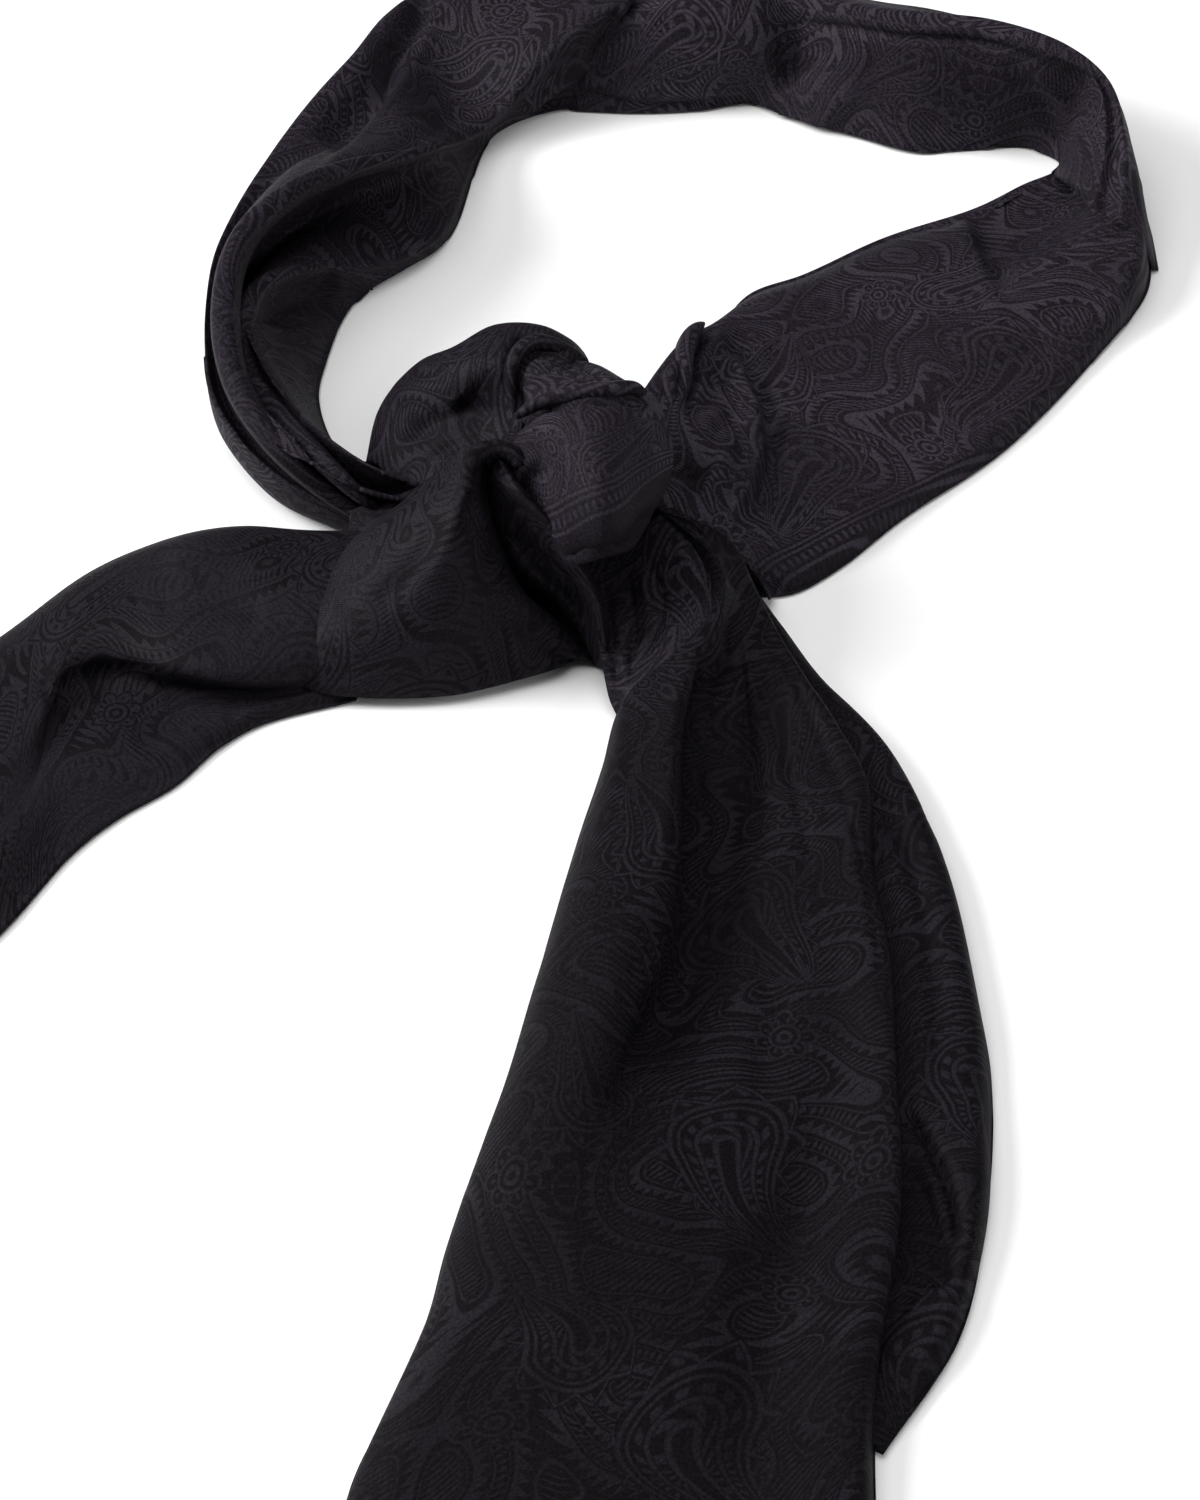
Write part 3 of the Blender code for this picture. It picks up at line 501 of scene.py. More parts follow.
def group(name, inputs, outputs):
    """A new node group with number or vector sockets, and its maths, inputs and outputs."""
    tree = bpy.data.node_groups.new(name, "ShaderNodeTree")
    for socket, value in inputs:
        kind = "NodeSocketVector" if value is None else "NodeSocketFloat"
        made = tree.interface.new_socket(socket, in_out="INPUT", socket_type=kind)
        if value is not None:
            made.default_value = value
    for socket in outputs:
        tree.interface.new_socket(socket, in_out="OUTPUT", socket_type="NodeSocketFloat")
    start = tree.nodes.new("NodeGroupInput")
    end = tree.nodes.new("NodeGroupOutput")
    return tree, Maths(tree), start.outputs, end.inputs


def place_group(tree, inner, **values):
    """That group inside a tree, with its inputs set or linked by name."""
    made = node(tree, "ShaderNodeGroup", node_tree=inner)
    for key, value in values.items():
        feed(tree, made.inputs[key], value)
    return made.outputs


def unevenness(tree, place, scale, detail=0.0):
    """Soft noise over the cloth, from 0 to 1, with this many rises to a metre."""
    made = node(tree, "ShaderNodeTexNoise", noise_dimensions="2D")
    made.inputs["Scale"].default_value = scale
    made.inputs["Detail"].default_value = detail
    tree.links.new(place, made.inputs["Vector"])
    return made.outputs["Fac"]


def apart(tree, place):
    """A place's two measures: along the cloth and across it."""
    parts = node(tree, "ShaderNodeSeparateXYZ")
    tree.links.new(place, parts.inputs[0])
    return parts.outputs[0], parts.outputs[1]


# A paisley's nested outlines, in radii of its round end: the level, half the width and the soft edge.
DROP_RINGS = ((1.0, 0.045, 0.02), (0.84, 0.03, 0.015), (0.52, 0.04, 0.02), (0.2, 0.05, 0.03))
DROP_LENGTH = 2.2         # radii from the round end's middle to the tip
DROP_TAPER = 0.6          # the lower, the fuller a paisley's tip
FLOWER_RINGS = ((0.46, 0.05, 0.03), (0.2, 0.07, 0.03))


def teardrop_group():
    """One woven paisley: nested outlines, beads between them, leaves inside and a toothed fringe.

    Across and Up are millimetres from the middle of its round end, Radius is the round end's, and the
    tip is bent over by Lean. Figure is the woven figure and Inside covers the whole motif."""
    tree, m, given, give = group("teardrop", (("Across", 0.0), ("Up", 0.0), ("Radius", 10.0), ("Lean", 0.5)),
                                 ("Figure", "Inside"))
    across = m.over(given["Across"], given["Radius"])
    up = m.over(given["Up"], given["Radius"])
    share = m.least(m.times(m.most(up, 0.0), 1 / DROP_LENGTH), 1.0)
    sideways = m.less(across, m.times(m.times(share, share), given["Lean"]))
    taper = m.most(m.put("POWER", m.less(1.0, share), DROP_TAPER), 0.02)
    level = m.over(m.length(sideways, m.least(up, 0.0)), taper)
    turn = m.put("ARCTAN2", sideways, m.less(0.7, up))
    beads = m.times(m.wave(turn, 3.8, 0.25), m.band(level, 0.67, 0.065, 0.025))
    leaves = m.times(m.wave(m.add(m.times(turn, 0.75), level), 3.2, 0.22), m.band(level, 0.36, 0.09, 0.03))
    reach = m.add(1.1, m.times(m.put("PINGPONG", m.times(turn, 2.2), 0.5), 0.62))
    beyond = m.less(reach, level)
    teeth = m.band(beyond, 0.04, 0.035, 0.02)
    veins = m.times(m.wave(m.add(turn, m.times(level, 0.25)), 4.4, 0.17), m.band(level, 1.25, 0.12, 0.03))
    veins = m.times(veins, m.ramp(beyond, 0.09, 0.13))
    near = m.ramp(share, 0.98, 0.9)
    fringe = m.times(m.most(teeth, veins), near)
    tree.links.new(m.most(m.bands(level, DROP_RINGS), fringe, beads, leaves), give["Figure"])
    tree.links.new(m.times(m.ramp(beyond, -0.08, -0.02), near), give["Inside"])
    return tree


def rosette_group():
    """A woven flower: rings of petals round a seed head. Across and Up are in millimetres."""
    tree, m, given, give = group("rosette", (("Across", 0.0), ("Up", 0.0), ("Radius", 6.0)), ("Figure", "Inside"))
    away = m.over(m.length(given["Across"], given["Up"]), given["Radius"])
    turn = m.put("ARCTAN2", given["Across"], given["Up"])
    petals = m.add(0.66, m.times(m.put("ABSOLUTE", m.put("SINE", m.times(turn, 3.5))), 0.3))
    edge = m.band(m.less(away, petals), 0.0, 0.055, 0.03)
    rays = m.times(m.wave(turn, 2.6, 0.2), m.band(away, 0.64, 0.09, 0.04))
    tree.links.new(m.most(edge, m.bands(away, FLOWER_RINGS), rays), give["Figure"])
    tree.links.new(m.ramp(m.less(away, petals), 0.1, 0.04), give["Inside"])
    return tree


# The woven repeat, in millimetres. The paisleys stand in columns, large ones in the even columns and small
# ones head down in the odd, half a repeat lower, with a flower in the gap of each column.
COLUMN = 33.0
REPEAT = 58.0
LARGE, SMALL = 10.8, 8.4  # the radius of a paisley's round end
TIP_TURN = 13.0           # degrees, a paisley's lean across its column
TIP_BEND = 0.8            # radii, a tip's bend to the side
DROP_ASIDE = 4.0          # a paisley's place in its column
DROP_LOW, DROP_LOW_ODD = 6.0, 4.0
FLOWER = 6.0              # the radius of a flower
FLOWER_ASIDE, FLOWER_LOW = 7.0, 4.0
WANDER_SCALE = 36.0       # the figure's slow wander, to a metre
WANDER = 9.0
SCROLL = 44.0             # the scrolls between the motifs, to a metre
SCROLL_LINES = 4.6        # leaves from a scroll's middle to its rim
SWING, SWING_TURN = 3.2, 0.21   # the scrolls' sway along the cloth, and its turn for each mm across
RUN_SLANT = 0.35
TOOTH = 2.7               # from tooth to tooth of a leaf's edge
STROKE = 1.5              # from one of the scrolls' combed strokes to the next
LEAF_LINES = ((0.53, 0.022, 0.02), (0.93, 0.016, 0.02))
# The border's lines, and its row of bars between the second and the third.
BORDER_LINES = ((0.8, 0.3, 0.12), (2.1, 0.3, 0.12), (6.0, 0.35, 0.12))
BORDER_BARS = (4.0, 0.85, 0.2)
BAR_PITCH = 1.9
# Where the figure's threads have sunk in: how often to a metre, from where to where, and how much is left.
FADING_SCALE = 30.0
FADED, FRESH = 0.38, 0.6
LEAST_FIGURE = 0.5
NO_BORDER = 1000.0        # a border this far across the cloth never shows


def paisley_group(teardrop, rosette):
    """The whole figure: paisleys and flowers in columns, feathered strokes between, and a striped border.

    Vector is the place on the cloth in metres. The border begins Edge millimetres across the cloth."""
    tree, m, given, give = group("paisley", (("Vector", None), ("Edge", NO_BORDER)), ("Figure",))
    plain_along, plain_across = (m.times(part, 1 / MM) for part in apart(tree, given["Vector"]))
    shift = m.times(m.less(unevenness(tree, given["Vector"], WANDER_SCALE), 0.5), WANDER)
    along, across = m.add(plain_along, shift), m.less(plain_across, shift)
    column = m.put("FLOOR", m.over(across, COLUMN))
    odd = m.put("FLOORED_MODULO", column, 2.0)
    way = m.less(1.0, m.times(odd, 2.0))
    x = m.times(m.less(m.less(across, m.times(column, COLUMN)), COLUMN / 2), way)
    y = m.put("FLOORED_MODULO", m.add(along, m.times(odd, REPEAT / 2)), REPEAT)
    radius = m.less(LARGE, m.times(odd, LARGE - SMALL))
    c, s = float(np.cos(np.radians(TIP_TURN))), float(np.sin(np.radians(TIP_TURN)))
    dx, dy = m.add(x, DROP_ASIDE), m.times(m.less(y, REPEAT / 2), way)
    dy = m.add(dy, m.add(DROP_LOW, m.times(odd, DROP_LOW_ODD)))
    drop = place_group(tree, teardrop, Across=m.less(m.times(dx, c), m.times(dy, s)),
                       Up=m.add(m.times(dy, c), m.times(dx, s)), Radius=radius, Lean=TIP_BEND)
    gap = m.less(m.put("FLOORED_MODULO", m.add(y, REPEAT / 2 + FLOWER_LOW), REPEAT), REPEAT / 2)
    flower = place_group(tree, rosette, Across=m.add(x, -FLOWER_ASIDE), Up=gap, Radius=FLOWER)
    turns = m.put("FRACT", m.times(unevenness(tree, given["Vector"], SCROLL), SCROLL_LINES))
    swing = m.times(m.put("SINE", m.times(across, SWING_TURN)), SWING)
    run = m.add(m.add(along, swing), m.times(across, RUN_SLANT))
    tooth = m.put("PINGPONG", m.over(run, TOOTH), 0.5)
    leaf = m.times(m.ramp(turns, 0.03, 0.06), m.ramp(m.less(m.less(0.46, m.times(tooth, 0.62)), turns), 0.0, 0.03))
    comb = m.put("PINGPONG", m.over(m.add(run, m.times(turns, 3.0)), STROKE), 0.5)
    stroke = m.less(m.less(0.32, m.times(m.put("ABSOLUTE", m.less(turns, 0.74)), 1.7)), comb)
    filling = m.most(leaf, m.bands(turns, LEAF_LINES), m.ramp(stroke, -0.04, 0.05))
    filling = m.times(filling, m.less(1.0, m.most(drop["Inside"], flower["Inside"])))
    figure = m.most(drop["Figure"], flower["Figure"], filling)
    out = m.less(plain_across, given["Edge"])
    bars = m.times(m.wave(plain_along, 1 / BAR_PITCH, 0.24), m.band(out, *BORDER_BARS))
    border = m.most(m.bands(out, BORDER_LINES), bars)
    in_border = m.ramp(out, -0.2, 0.1)
    fresh = m.ramp(unevenness(tree, given["Vector"], FADING_SCALE, 1.0), FADED, FRESH)
    kept = m.add(LEAST_FIGURE, m.times(fresh, 1 - LEAST_FIGURE))
    woven = m.add(m.times(figure, m.less(1.0, in_border)), m.times(border, in_border))
    tree.links.new(m.times(woven, kept), give["Figure"])
    return tree


# The silk's colours and gloss. The ground is a dark twill and the figure is a satin a little lighter, or the
# other way round where the cloth shows its other face. A thread is lighter or darker than its colour by these
# shares, from the lowest to the highest.
TWILL = (0.0048, 0.0037, 0.0054)
SATIN = (0.0150, 0.0122, 0.0170)
TWILL_THREADS = (0.35, 1.7)
SATIN_THREADS = (0.55, 1.4)
THREAD_STEP = (0.28, 0.68)      # where a thread goes from its darkest to its lightest
THREAD_RIBS, THREAD_FLECK = 0.35, 0.65
TWILL_PITCH = 0.00042     # m
TWILL_SLANT = 0.62
FLECK_SCALE = 1500.0      # to a metre
TWILL_ROUGHNESS = 0.62
SATIN_ROUGHNESS = 0.54
SPECULAR = 0.04
SHEEN = 0.004
SHEEN_ROUGHNESS = 0.35
SHEEN_TINT = (0.93, 0.9, 1.0, 1.0)
BUMP_STRENGTH = 0.6
BUMP_DEPTH = 0.00008      # m
BUMP_RIBS, BUMP_FLECK = 0.6, 0.9


def mixed(tree, share, first, second):
    """Two colours mixed by a share."""
    made = node(tree, "ShaderNodeMix", data_type="RGBA")
    tree.links.new(share, made.inputs["Factor"])
    feed(tree, made.inputs[6], first)
    feed(tree, made.inputs[7], second)
    return made.outputs[2]


def threaded(tree, threads, colour, shares, painted_light_gain):
    """A colour with its threads lighter and darker, scaled by the stretch's painted light and shade."""
    # the gain is painted light and shade: it makes the colour lighter where the stretch catches light or sheen and
    # darker where it lies in shade
    dark, light = (tuple(share * painted_light_gain * c for c in colour) + (1.0,) for share in shares)
    return mixed(tree, threads, dark, light)


def weave_group():
    """The twill's fine diagonal ribs and the unevenness of its threads, each from 0 to 1."""
    tree, m, given, give = group("weave", (("Vector", None),), ("Ribs", "Fleck"))
    along, across = apart(tree, given["Vector"])
    rib_way = m.add(along, m.times(across, TWILL_SLANT))
    tree.links.new(m.times(m.put("PINGPONG", m.over(rib_way, TWILL_PITCH), 0.5), 2.0), give["Ribs"])
    tree.links.new(unevenness(tree, given["Vector"], FLECK_SCALE, 1.0), give["Fleck"])
    return tree


def silk(name, paisley, weave, shift=(0.0, 0.0), turn=0.0, edge=NO_BORDER, reverse=False, painted_light_gain=1.0):
    """Black jacquard silk: a twill ground with a satin figure, a soft gloss and a fine rib, its colour scaled lighter
    or darker as painted light and shade.
    """
    material = bpy.data.materials.new("silk_" + name)
    material.use_nodes = True
    tree = material.node_tree
    m = Maths(tree)
    shader = tree.nodes["Principled BSDF"]
    place = node(tree, "ShaderNodeUVMap", uv_map="cloth")
    moved = node(tree, "ShaderNodeMapping")
    moved.inputs["Location"].default_value = (shift[0], shift[1], 0)
    moved.inputs["Rotation"].default_value = (0, 0, np.radians(turn))
    tree.links.new(place.outputs[0], moved.inputs["Vector"])
    figure = place_group(tree, paisley, Vector=moved.outputs[0], Edge=edge)["Figure"]
    if reverse:
        figure = m.less(1.0, figure)
    woven = place_group(tree, weave, Vector=moved.outputs[0])
    threads = m.add(m.times(woven["Ribs"], THREAD_RIBS), m.times(woven["Fleck"], THREAD_FLECK))
    threads = m.ramp(threads, *THREAD_STEP)
    ground = threaded(tree, threads, TWILL, TWILL_THREADS, painted_light_gain)
    satin = threaded(tree, threads, SATIN, SATIN_THREADS, painted_light_gain)
    rough = m.less(TWILL_ROUGHNESS, m.times(figure, TWILL_ROUGHNESS - SATIN_ROUGHNESS))
    bump = node(tree, "ShaderNodeBump")
    bump.inputs["Strength"].default_value = BUMP_STRENGTH
    bump.inputs["Distance"].default_value = BUMP_DEPTH
    height = m.add(m.times(woven["Ribs"], BUMP_RIBS), m.times(woven["Fleck"], BUMP_FLECK))
    tree.links.new(height, bump.inputs["Height"])
    for socket, value in (("Base Color", mixed(tree, figure, ground, satin)), ("Roughness", rough),
                          ("Normal", bump.outputs[0]), ("Specular IOR Level", SPECULAR), ("Sheen Weight", SHEEN),
                          ("Sheen Roughness", SHEEN_ROUGHNESS), ("Sheen Tint", SHEEN_TINT)):
        feed(tree, shader.inputs[socket], value)
    return material


def cloth_mesh(name, grid, grain):
    """The grid as a mesh in metres, with the cloth's own measure as UV, in metres too.

    The measure runs along the middle line and out from it, or lies flat with the grain at this angle."""
    rows, width = grid.shape[:2]
    faces = [(i * width + j, (i + 1) * width + j, (i + 1) * width + j + 1, i * width + j + 1)
             for i in range(rows - 1) for j in range(width - 1)]
    if normals(grid)[:, :, 2].mean() * np.cross(grid[1, 0] - grid[0, 0], grid[0, 1] - grid[0, 0])[2] < 0:
        faces = [face[::-1] for face in faces]
    mesh = bpy.data.meshes.new(name)
    mesh.from_pydata(((grid - MIDDLE) * MM).reshape(-1, 3).tolist(), [], faces)
    measure = mesh.uv_layers.new(name="cloth")
    if grain is None:
        middle = grid[:, width // 2]
        along = np.concatenate([[0], np.cumsum(np.linalg.norm(np.diff(middle, axis=0), axis=1))])
        steps = np.linalg.norm(np.diff(grid, axis=1), axis=2)
        across = np.concatenate([np.zeros((rows, 1)), np.cumsum(steps, axis=1)], axis=1)
        across -= across[:, width // 2][:, None]
        flat = np.stack([np.repeat(along[:, None], width, axis=1), across], axis=2)
    else:
        way = np.array((np.cos(np.radians(grain)), np.sin(np.radians(grain))))
        side = np.array((-way[1], way[0]))
        from_middle = grid[:, :, :2] - grid[rows // 2, width // 2, :2]
        flat = np.stack([from_middle @ way, from_middle @ side], axis=2)
    flat = flat.reshape(-1, 2) * MM
    corner = np.empty(len(mesh.loops), dtype=np.int32)
    mesh.loops.foreach_get("vertex_index", corner)
    measure.data.foreach_set("uv", flat[corner].ravel())
    mesh.shade_smooth()
    return mesh


BROAD = 21.0              # mm from rise to rise
DRAWN_LENGTH, DRAWN_WIDTH = 42.0, 6.5   # mm, the finer folds
DRAWN_SHARE = 0.9
RIPPLE = 0.3              # mm, the height of the unevenness
ROLL_RIPPLE = 0.1         # mm
TURNED_REACH = 3.0        # mm over which an end turns down


def ripples(grid, height, seed):
    """Slight unevenness over the cloth: broad rises some 20 mm apart, and finer folds drawn out along it."""
    out = normals(grid)
    along = np.cumsum(np.linalg.norm(np.diff(grid, axis=0, prepend=grid[:1]), axis=2), axis=0)
    across = np.cumsum(np.linalg.norm(np.diff(grid, axis=1, prepend=grid[:, :1]), axis=2), axis=1)
    lift = np.empty(grid.shape[:2])
    for i, row in enumerate(grid):
        for j, (x, y, z) in enumerate(row):
            broad = noise.noise(Vector((x / BROAD, y / BROAD, seed + z / BROAD)))
            drawn = noise.noise(Vector((along[i, j] / DRAWN_LENGTH, across[i, j] / DRAWN_WIDTH, seed)))
            lift[i, j] = broad + DRAWN_SHARE * drawn
    return grid + out * (lift * height)[:, :, None]


def lay(name, material, lines, fine, solid, flat, rests_on=(), strokes=(), seed=0, ripple=RIPPLE,
        reach=TURNED_REACH, drop=(0.0, 0.0), grain=None):
    """Makes one stretch of cloth, puts it on the body in place of its solid, and gives its grid."""
    grid = turned_down(surface(lines, *fine), reach, drop)
    grid = pressed(ripples(grid, ripple, seed), strokes)
    grid[:, :, 2] = np.maximum(grid[:, :, 2], EDGE)
    piece = bpy.data.objects.new(name, cloth_mesh(name, grid, grain))
    bpy.context.scene.collection.objects.link(piece)
    piece.data.materials.append(material)
    shell = piece.modifiers.new("folded_silk", "SOLIDIFY")
    shell.thickness = THICKNESS * MM
    shell.offset = -1.0
    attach(piece, "root")
    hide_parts(solid)
    return grid


def camera():
    """The camera, at the photograph's angle and distance."""
    aim = Vector(-MIDDLE * MM)
    data = bpy.data.cameras.new("camera")
    data.lens = LENS
    data.sensor_fit = "VERTICAL"
    data.sensor_height = FRAME_HEIGHT
    data.clip_start = 0.01
    made = bpy.data.objects.new("camera", data)
    made.location = aim + Vector(-AWAY) * VIEW_DISTANCE * MM
    made.rotation_euler = (aim - made.location).to_track_quat("-Z", "Y").to_euler()
    bpy.context.scene.collection.objects.link(made)
    bpy.context.scene.camera = made


WORLD_LIGHT = 0.08
FLOOR_REACH = 3.0         # m
FLOOR_SUNK = 0.0002       # m
FLOOR_WHITE = (0.9, 0.9, 0.9, 1.0)
FLOOR_ROUGHNESS = 0.75
LIT = (0.05, 0.03, 0.0)   # m, where the lights look
# The soft boxes: the name, the place and the size in metres, and the power in watts.
LIGHTS = (
    ("top_light", (-0.15, 0.05, 1.4), (1.4, 1.4), 17.0),
    ("side_light", (-1.1, 0.15, 0.75), (0.7, 0.7), 26.0),
    ("fill_light", (1.1, -0.5, 0.6), (0.9, 0.6), 6.0),
)


def studio():
    """A plain white floor under soft light, brightest from above and from the left."""
    world = bpy.data.worlds.new("studio")
    world.use_nodes = True
    sky = world.node_tree.nodes["Background"]
    sky.inputs["Color"].default_value = (1.0, 1.0, 1.0, 1.0)
    sky.inputs["Strength"].default_value = WORLD_LIGHT
    bpy.context.scene.world = world
    for name, place, size, power in LIGHTS:
        data = bpy.data.lights.new(name, "AREA")
        data.shape = "RECTANGLE"
        data.size, data.size_y = size
        data.energy = power
        box = bpy.data.objects.new(name, data)
        box.location = place
        box.rotation_euler = (Vector(LIT) - Vector(place)).to_track_quat("-Z", "Y").to_euler()
        bpy.context.scene.collection.objects.link(box)
    mesh = bpy.data.meshes.new("floor")
    mesh.from_pydata([(x * FLOOR_REACH, y * FLOOR_REACH, 0.0) for x, y in ((-1, -1), (1, -1), (1, 1), (-1, 1))],
                     [], [(0, 1, 2, 3)])
    floor = bpy.data.objects.new("floor", mesh)
    floor.location.z = -FLOOR_SUNK
    white = bpy.data.materials.new("white_table")
    white.use_nodes = True
    shader = white.node_tree.nodes["Principled BSDF"]
    shader.inputs["Base Color"].default_value = FLOOR_WHITE
    shader.inputs["Roughness"].default_value = FLOOR_ROUGHNESS
    mesh.materials.append(white)
    bpy.context.scene.collection.objects.link(floor)
    bpy.context.scene.view_settings.view_transform = "Standard"


# Creases, each a path on the photograph: (width, depth, path), the depth negative for a ridge.
LOBE_ROLL = ((554, 338), (536, 336), (522, 338), (513, 349), (508, 367), (509, 388), (515, 410), (516, 424))
LOBE_ROLL_INNER = ((520, 413), (516, 388), (520, 367), (531, 354), (550, 350), (572, 357), (593, 370), (608, 382))
CREASES = {
    "lobe": (
        (1.7, 2.4, LOBE_ROLL),
        (1.6, 2.2, LOBE_ROLL_INNER),
        (11.0, 1.9, ((456, 396), (480, 418), (506, 444), (514, 460))),
        (4.0, 1.2, ((400, 452), (430, 424), (462, 410), (490, 412))),
        (3.0, 0.9, ((420, 470), (452, 446), (486, 436))),
        (5.0, -0.8, ((392, 402), (430, 380), (472, 362), (500, 352))),
    ),
    "wrap": (
        (1.6, 2.2, LOBE_ROLL_INNER),
        (1.2, 0.9, ((526, 402), (545, 393), (570, 387), (600, 383), (628, 381))),
        (1.6, 2.4, ((514, 434), (522, 419), (538, 409), (562, 403), (590, 400), (614, 399), (636, 402), (652, 414))),
        (6.0, 0.9, ((520, 446), (548, 470), (560, 500))),
        (5.0, 0.7, ((652, 430), (640, 462), (648, 500))),
        (7.0, 4.0, ((556, 560), (600, 566), (640, 556), (670, 512))),
    ),
    "cone": (
        (2.4, -0.8, ((470, 462), (472, 486), (478, 512), (486, 534))),
        (5.0, 0.8, ((468, 468), (446, 520), (410, 572), (366, 612))),
        (5.0, 0.9, ((472, 480), (462, 540), (452, 600), (448, 650))),
        (4.0, -0.6, ((466, 480), (448, 530), (424, 588))),
        (2.2, 1.7, ((512, 622), (531, 636), (549, 650), (571, 662), (597, 666))),
        (3.0, -0.7, ((505, 600), (528, 612), (548, 630), (572, 648))),
        (6.0, 0.8, ((330, 600), (338, 640), (350, 690))),
        (4.0, 0.8, ((470, 650), (500, 660), (530, 664))),
    ),
    "pleat": (
        (2.2, 1.2, ((497, 529), (521, 546), (545, 562), (564, 579), (579, 607))),
        (1.6, -0.6, ((486, 470), (506, 490), (534, 512), (556, 534))),
        (1.8, 1.0, ((521, 592), (545, 604), (560, 622), (580, 642))),
    ),
    "mouth": (
        (2.0, 1.0, ((606, 590), (612, 640), (618, 690))),
        (1.6, 0.9, ((628, 575), (634, 620), (630, 680))),
        (1.6, 0.8, ((650, 560), (662, 600), (652, 650))),
        (1.4, -0.6, ((640, 570), (648, 610), (642, 660))),
        (2.0, 1.2, ((672, 520), (694, 548), (704, 580))),
    ),
    "front_tail": (
        (1.8, 1.4, ((664, 506), (700, 536), (728, 566), (744, 596))),
        (3.0, 1.1, ((730, 610), (744, 690), (752, 780), (756, 860))),
        (2.4, 0.8, ((748, 640), (776, 720), (800, 810), (816, 890))),
        (14.0, -1.2, ((806, 1105), (775, 1180), (736, 1268), (718, 1325), (696, 1422))),
        (18.0, 1.4, ((836, 1110), (806, 1200), (776, 1290), (750, 1380), (732, 1460))),
        (14.0, 3.2, ((748, 650), (736, 740), (726, 840), (716, 930), (690, 1010), (650, 1080))),
        (4.0, 2.2, ((714, 630), (696, 731), (697, 820), (695, 902), (682, 987), (620, 1090))),
        (5.0, -1.6, ((700, 640), (672, 740), (672, 850), (664, 940), (640, 1010))),
        (5.0, 1.4, ((668, 990), (640, 1050), (612, 1110))),
        (10.0, -0.9, ((640, 900), (600, 1000), (560, 1120), (520, 1240))),
        (7.0, 0.9, ((760, 900), (770, 1000), (760, 1090))),
        (2.0, 0.7, ((762, 612), (804, 700), (846, 800), (872, 900), (882, 1000))),
    ),
    "under_tail": (
        (2.2, 3.0, ((903, 1110), (916, 1123), (934, 1153), (947, 1180), (954, 1211), (956, 1241))),
        (9.0, 5.0, ((896, 1160), (914, 1200), (926, 1250), (920, 1290))),
        (3.0, -0.8, ((930, 1290), (905, 1330), (878, 1380))),
        (4.0, 1.0, ((890, 800), (922, 900), (936, 1000), (938, 1080))),
    ),
    "left_tail": (
        (6.0, 1.0, ((150, 610), (210, 600), (270, 612))),
        (5.0, -0.7, ((160, 566), (220, 560), (290, 570))),
        (4.0, 0.9, ((130, 740), (190, 720), (250, 708))),
        (8.0, 1.2, ((40, 700), (80, 680), (120, 676))),
    ),
    "left_band": (
        (2.6, 2.0, ((320, 478), (299, 460), (261, 414), (239, 367), (232, 317), (239, 266))),
        (7.0, 5.0, ((432, -20), (407, 30), (386, 72), (352, 115), (322, 150))),
        (3.0, -1.3, ((444, -6), (424, 36), (403, 78), (368, 122), (326, 164))),
        (8.0, 4.0, ((284, 330), (290, 308), (312, 298), (345, 292))),
        (1.5, 1.7, ((600, 60), (620, 30), (640, 0))),
        (1.5, 1.5, ((586, 62), (606, 30), (622, 0))),
        (3.0, 2.0, ((500, 152), (540, 118), (575, 92), (604, 66))),
        (5.0, 1.2, ((398, 150), (450, 118), (510, 74))),
    ),
    "back_band": (
        (2.0, 1.3, ((778, 24), (825, 26), (859, 30), (902, 37), (944, 39), (987, 44), (1042, 64), (1072, 82))),
        (1.8, 1.4, ((575, 90), (604, 97), (640, 105), (700, 104), (740, 98))),
        (2.6, -0.9, ((640, 92), (700, 92), (750, 88))),
        (6.0, 1.8, ((792, 22), (786, 55), (795, 92))),
        (14.0, -3.0, ((800, 72), (820, 98), (838, 122))),
        (5.0, 0.9, ((650, 20), (700, 44), (760, 46))),
        (9.0, 1.2, ((860, 60), (900, 100), (950, 130))),
        (6.0, 1.2, ((1000, 60), (1040, 100), (1066, 150))),
        (4.0, -0.8, ((1030, 70), (1062, 104), (1084, 160))),
    ),
    "right_band": (
        (1.8, 2.8, ((714, 328), (701, 344), (695, 378), (686, 416))),
        (7.0, 6.5, ((660, 452), (686, 462), (712, 474))),
        (4.0, -2.4, ((716, 342), (738, 376), (756, 430), (756, 456), (740, 490), (724, 522))),
        (4.5, 2.4, ((738, 336), (762, 384), (778, 434), (772, 470), (752, 512))),
        (4.0, 1.3, ((742, 330), (718, 378), (694, 424))),
        (4.5, 1.1, ((786, 336), (750, 398), (712, 446))),
        (5.0, 1.2, ((790, 400), (756, 446), (722, 500))),
        (4.0, 1.0, ((806, 478), (766, 500), (732, 524))),
        (5.0, -0.8, ((762, 380), (736, 432), (716, 470))),
        (22.0, 5.5, ((1072, 160), (1050, 196), (1020, 222), (970, 240))),
        (9.0, -1.6, ((1100, 180), (1080, 216), (1050, 246), (1000, 264))),
        (14.0, -1.2, ((1080, 250), (1000, 320), (900, 380))),
        (12.0, 1.2, ((1060, 330), (980, 410), (880, 470))),
    ),
}
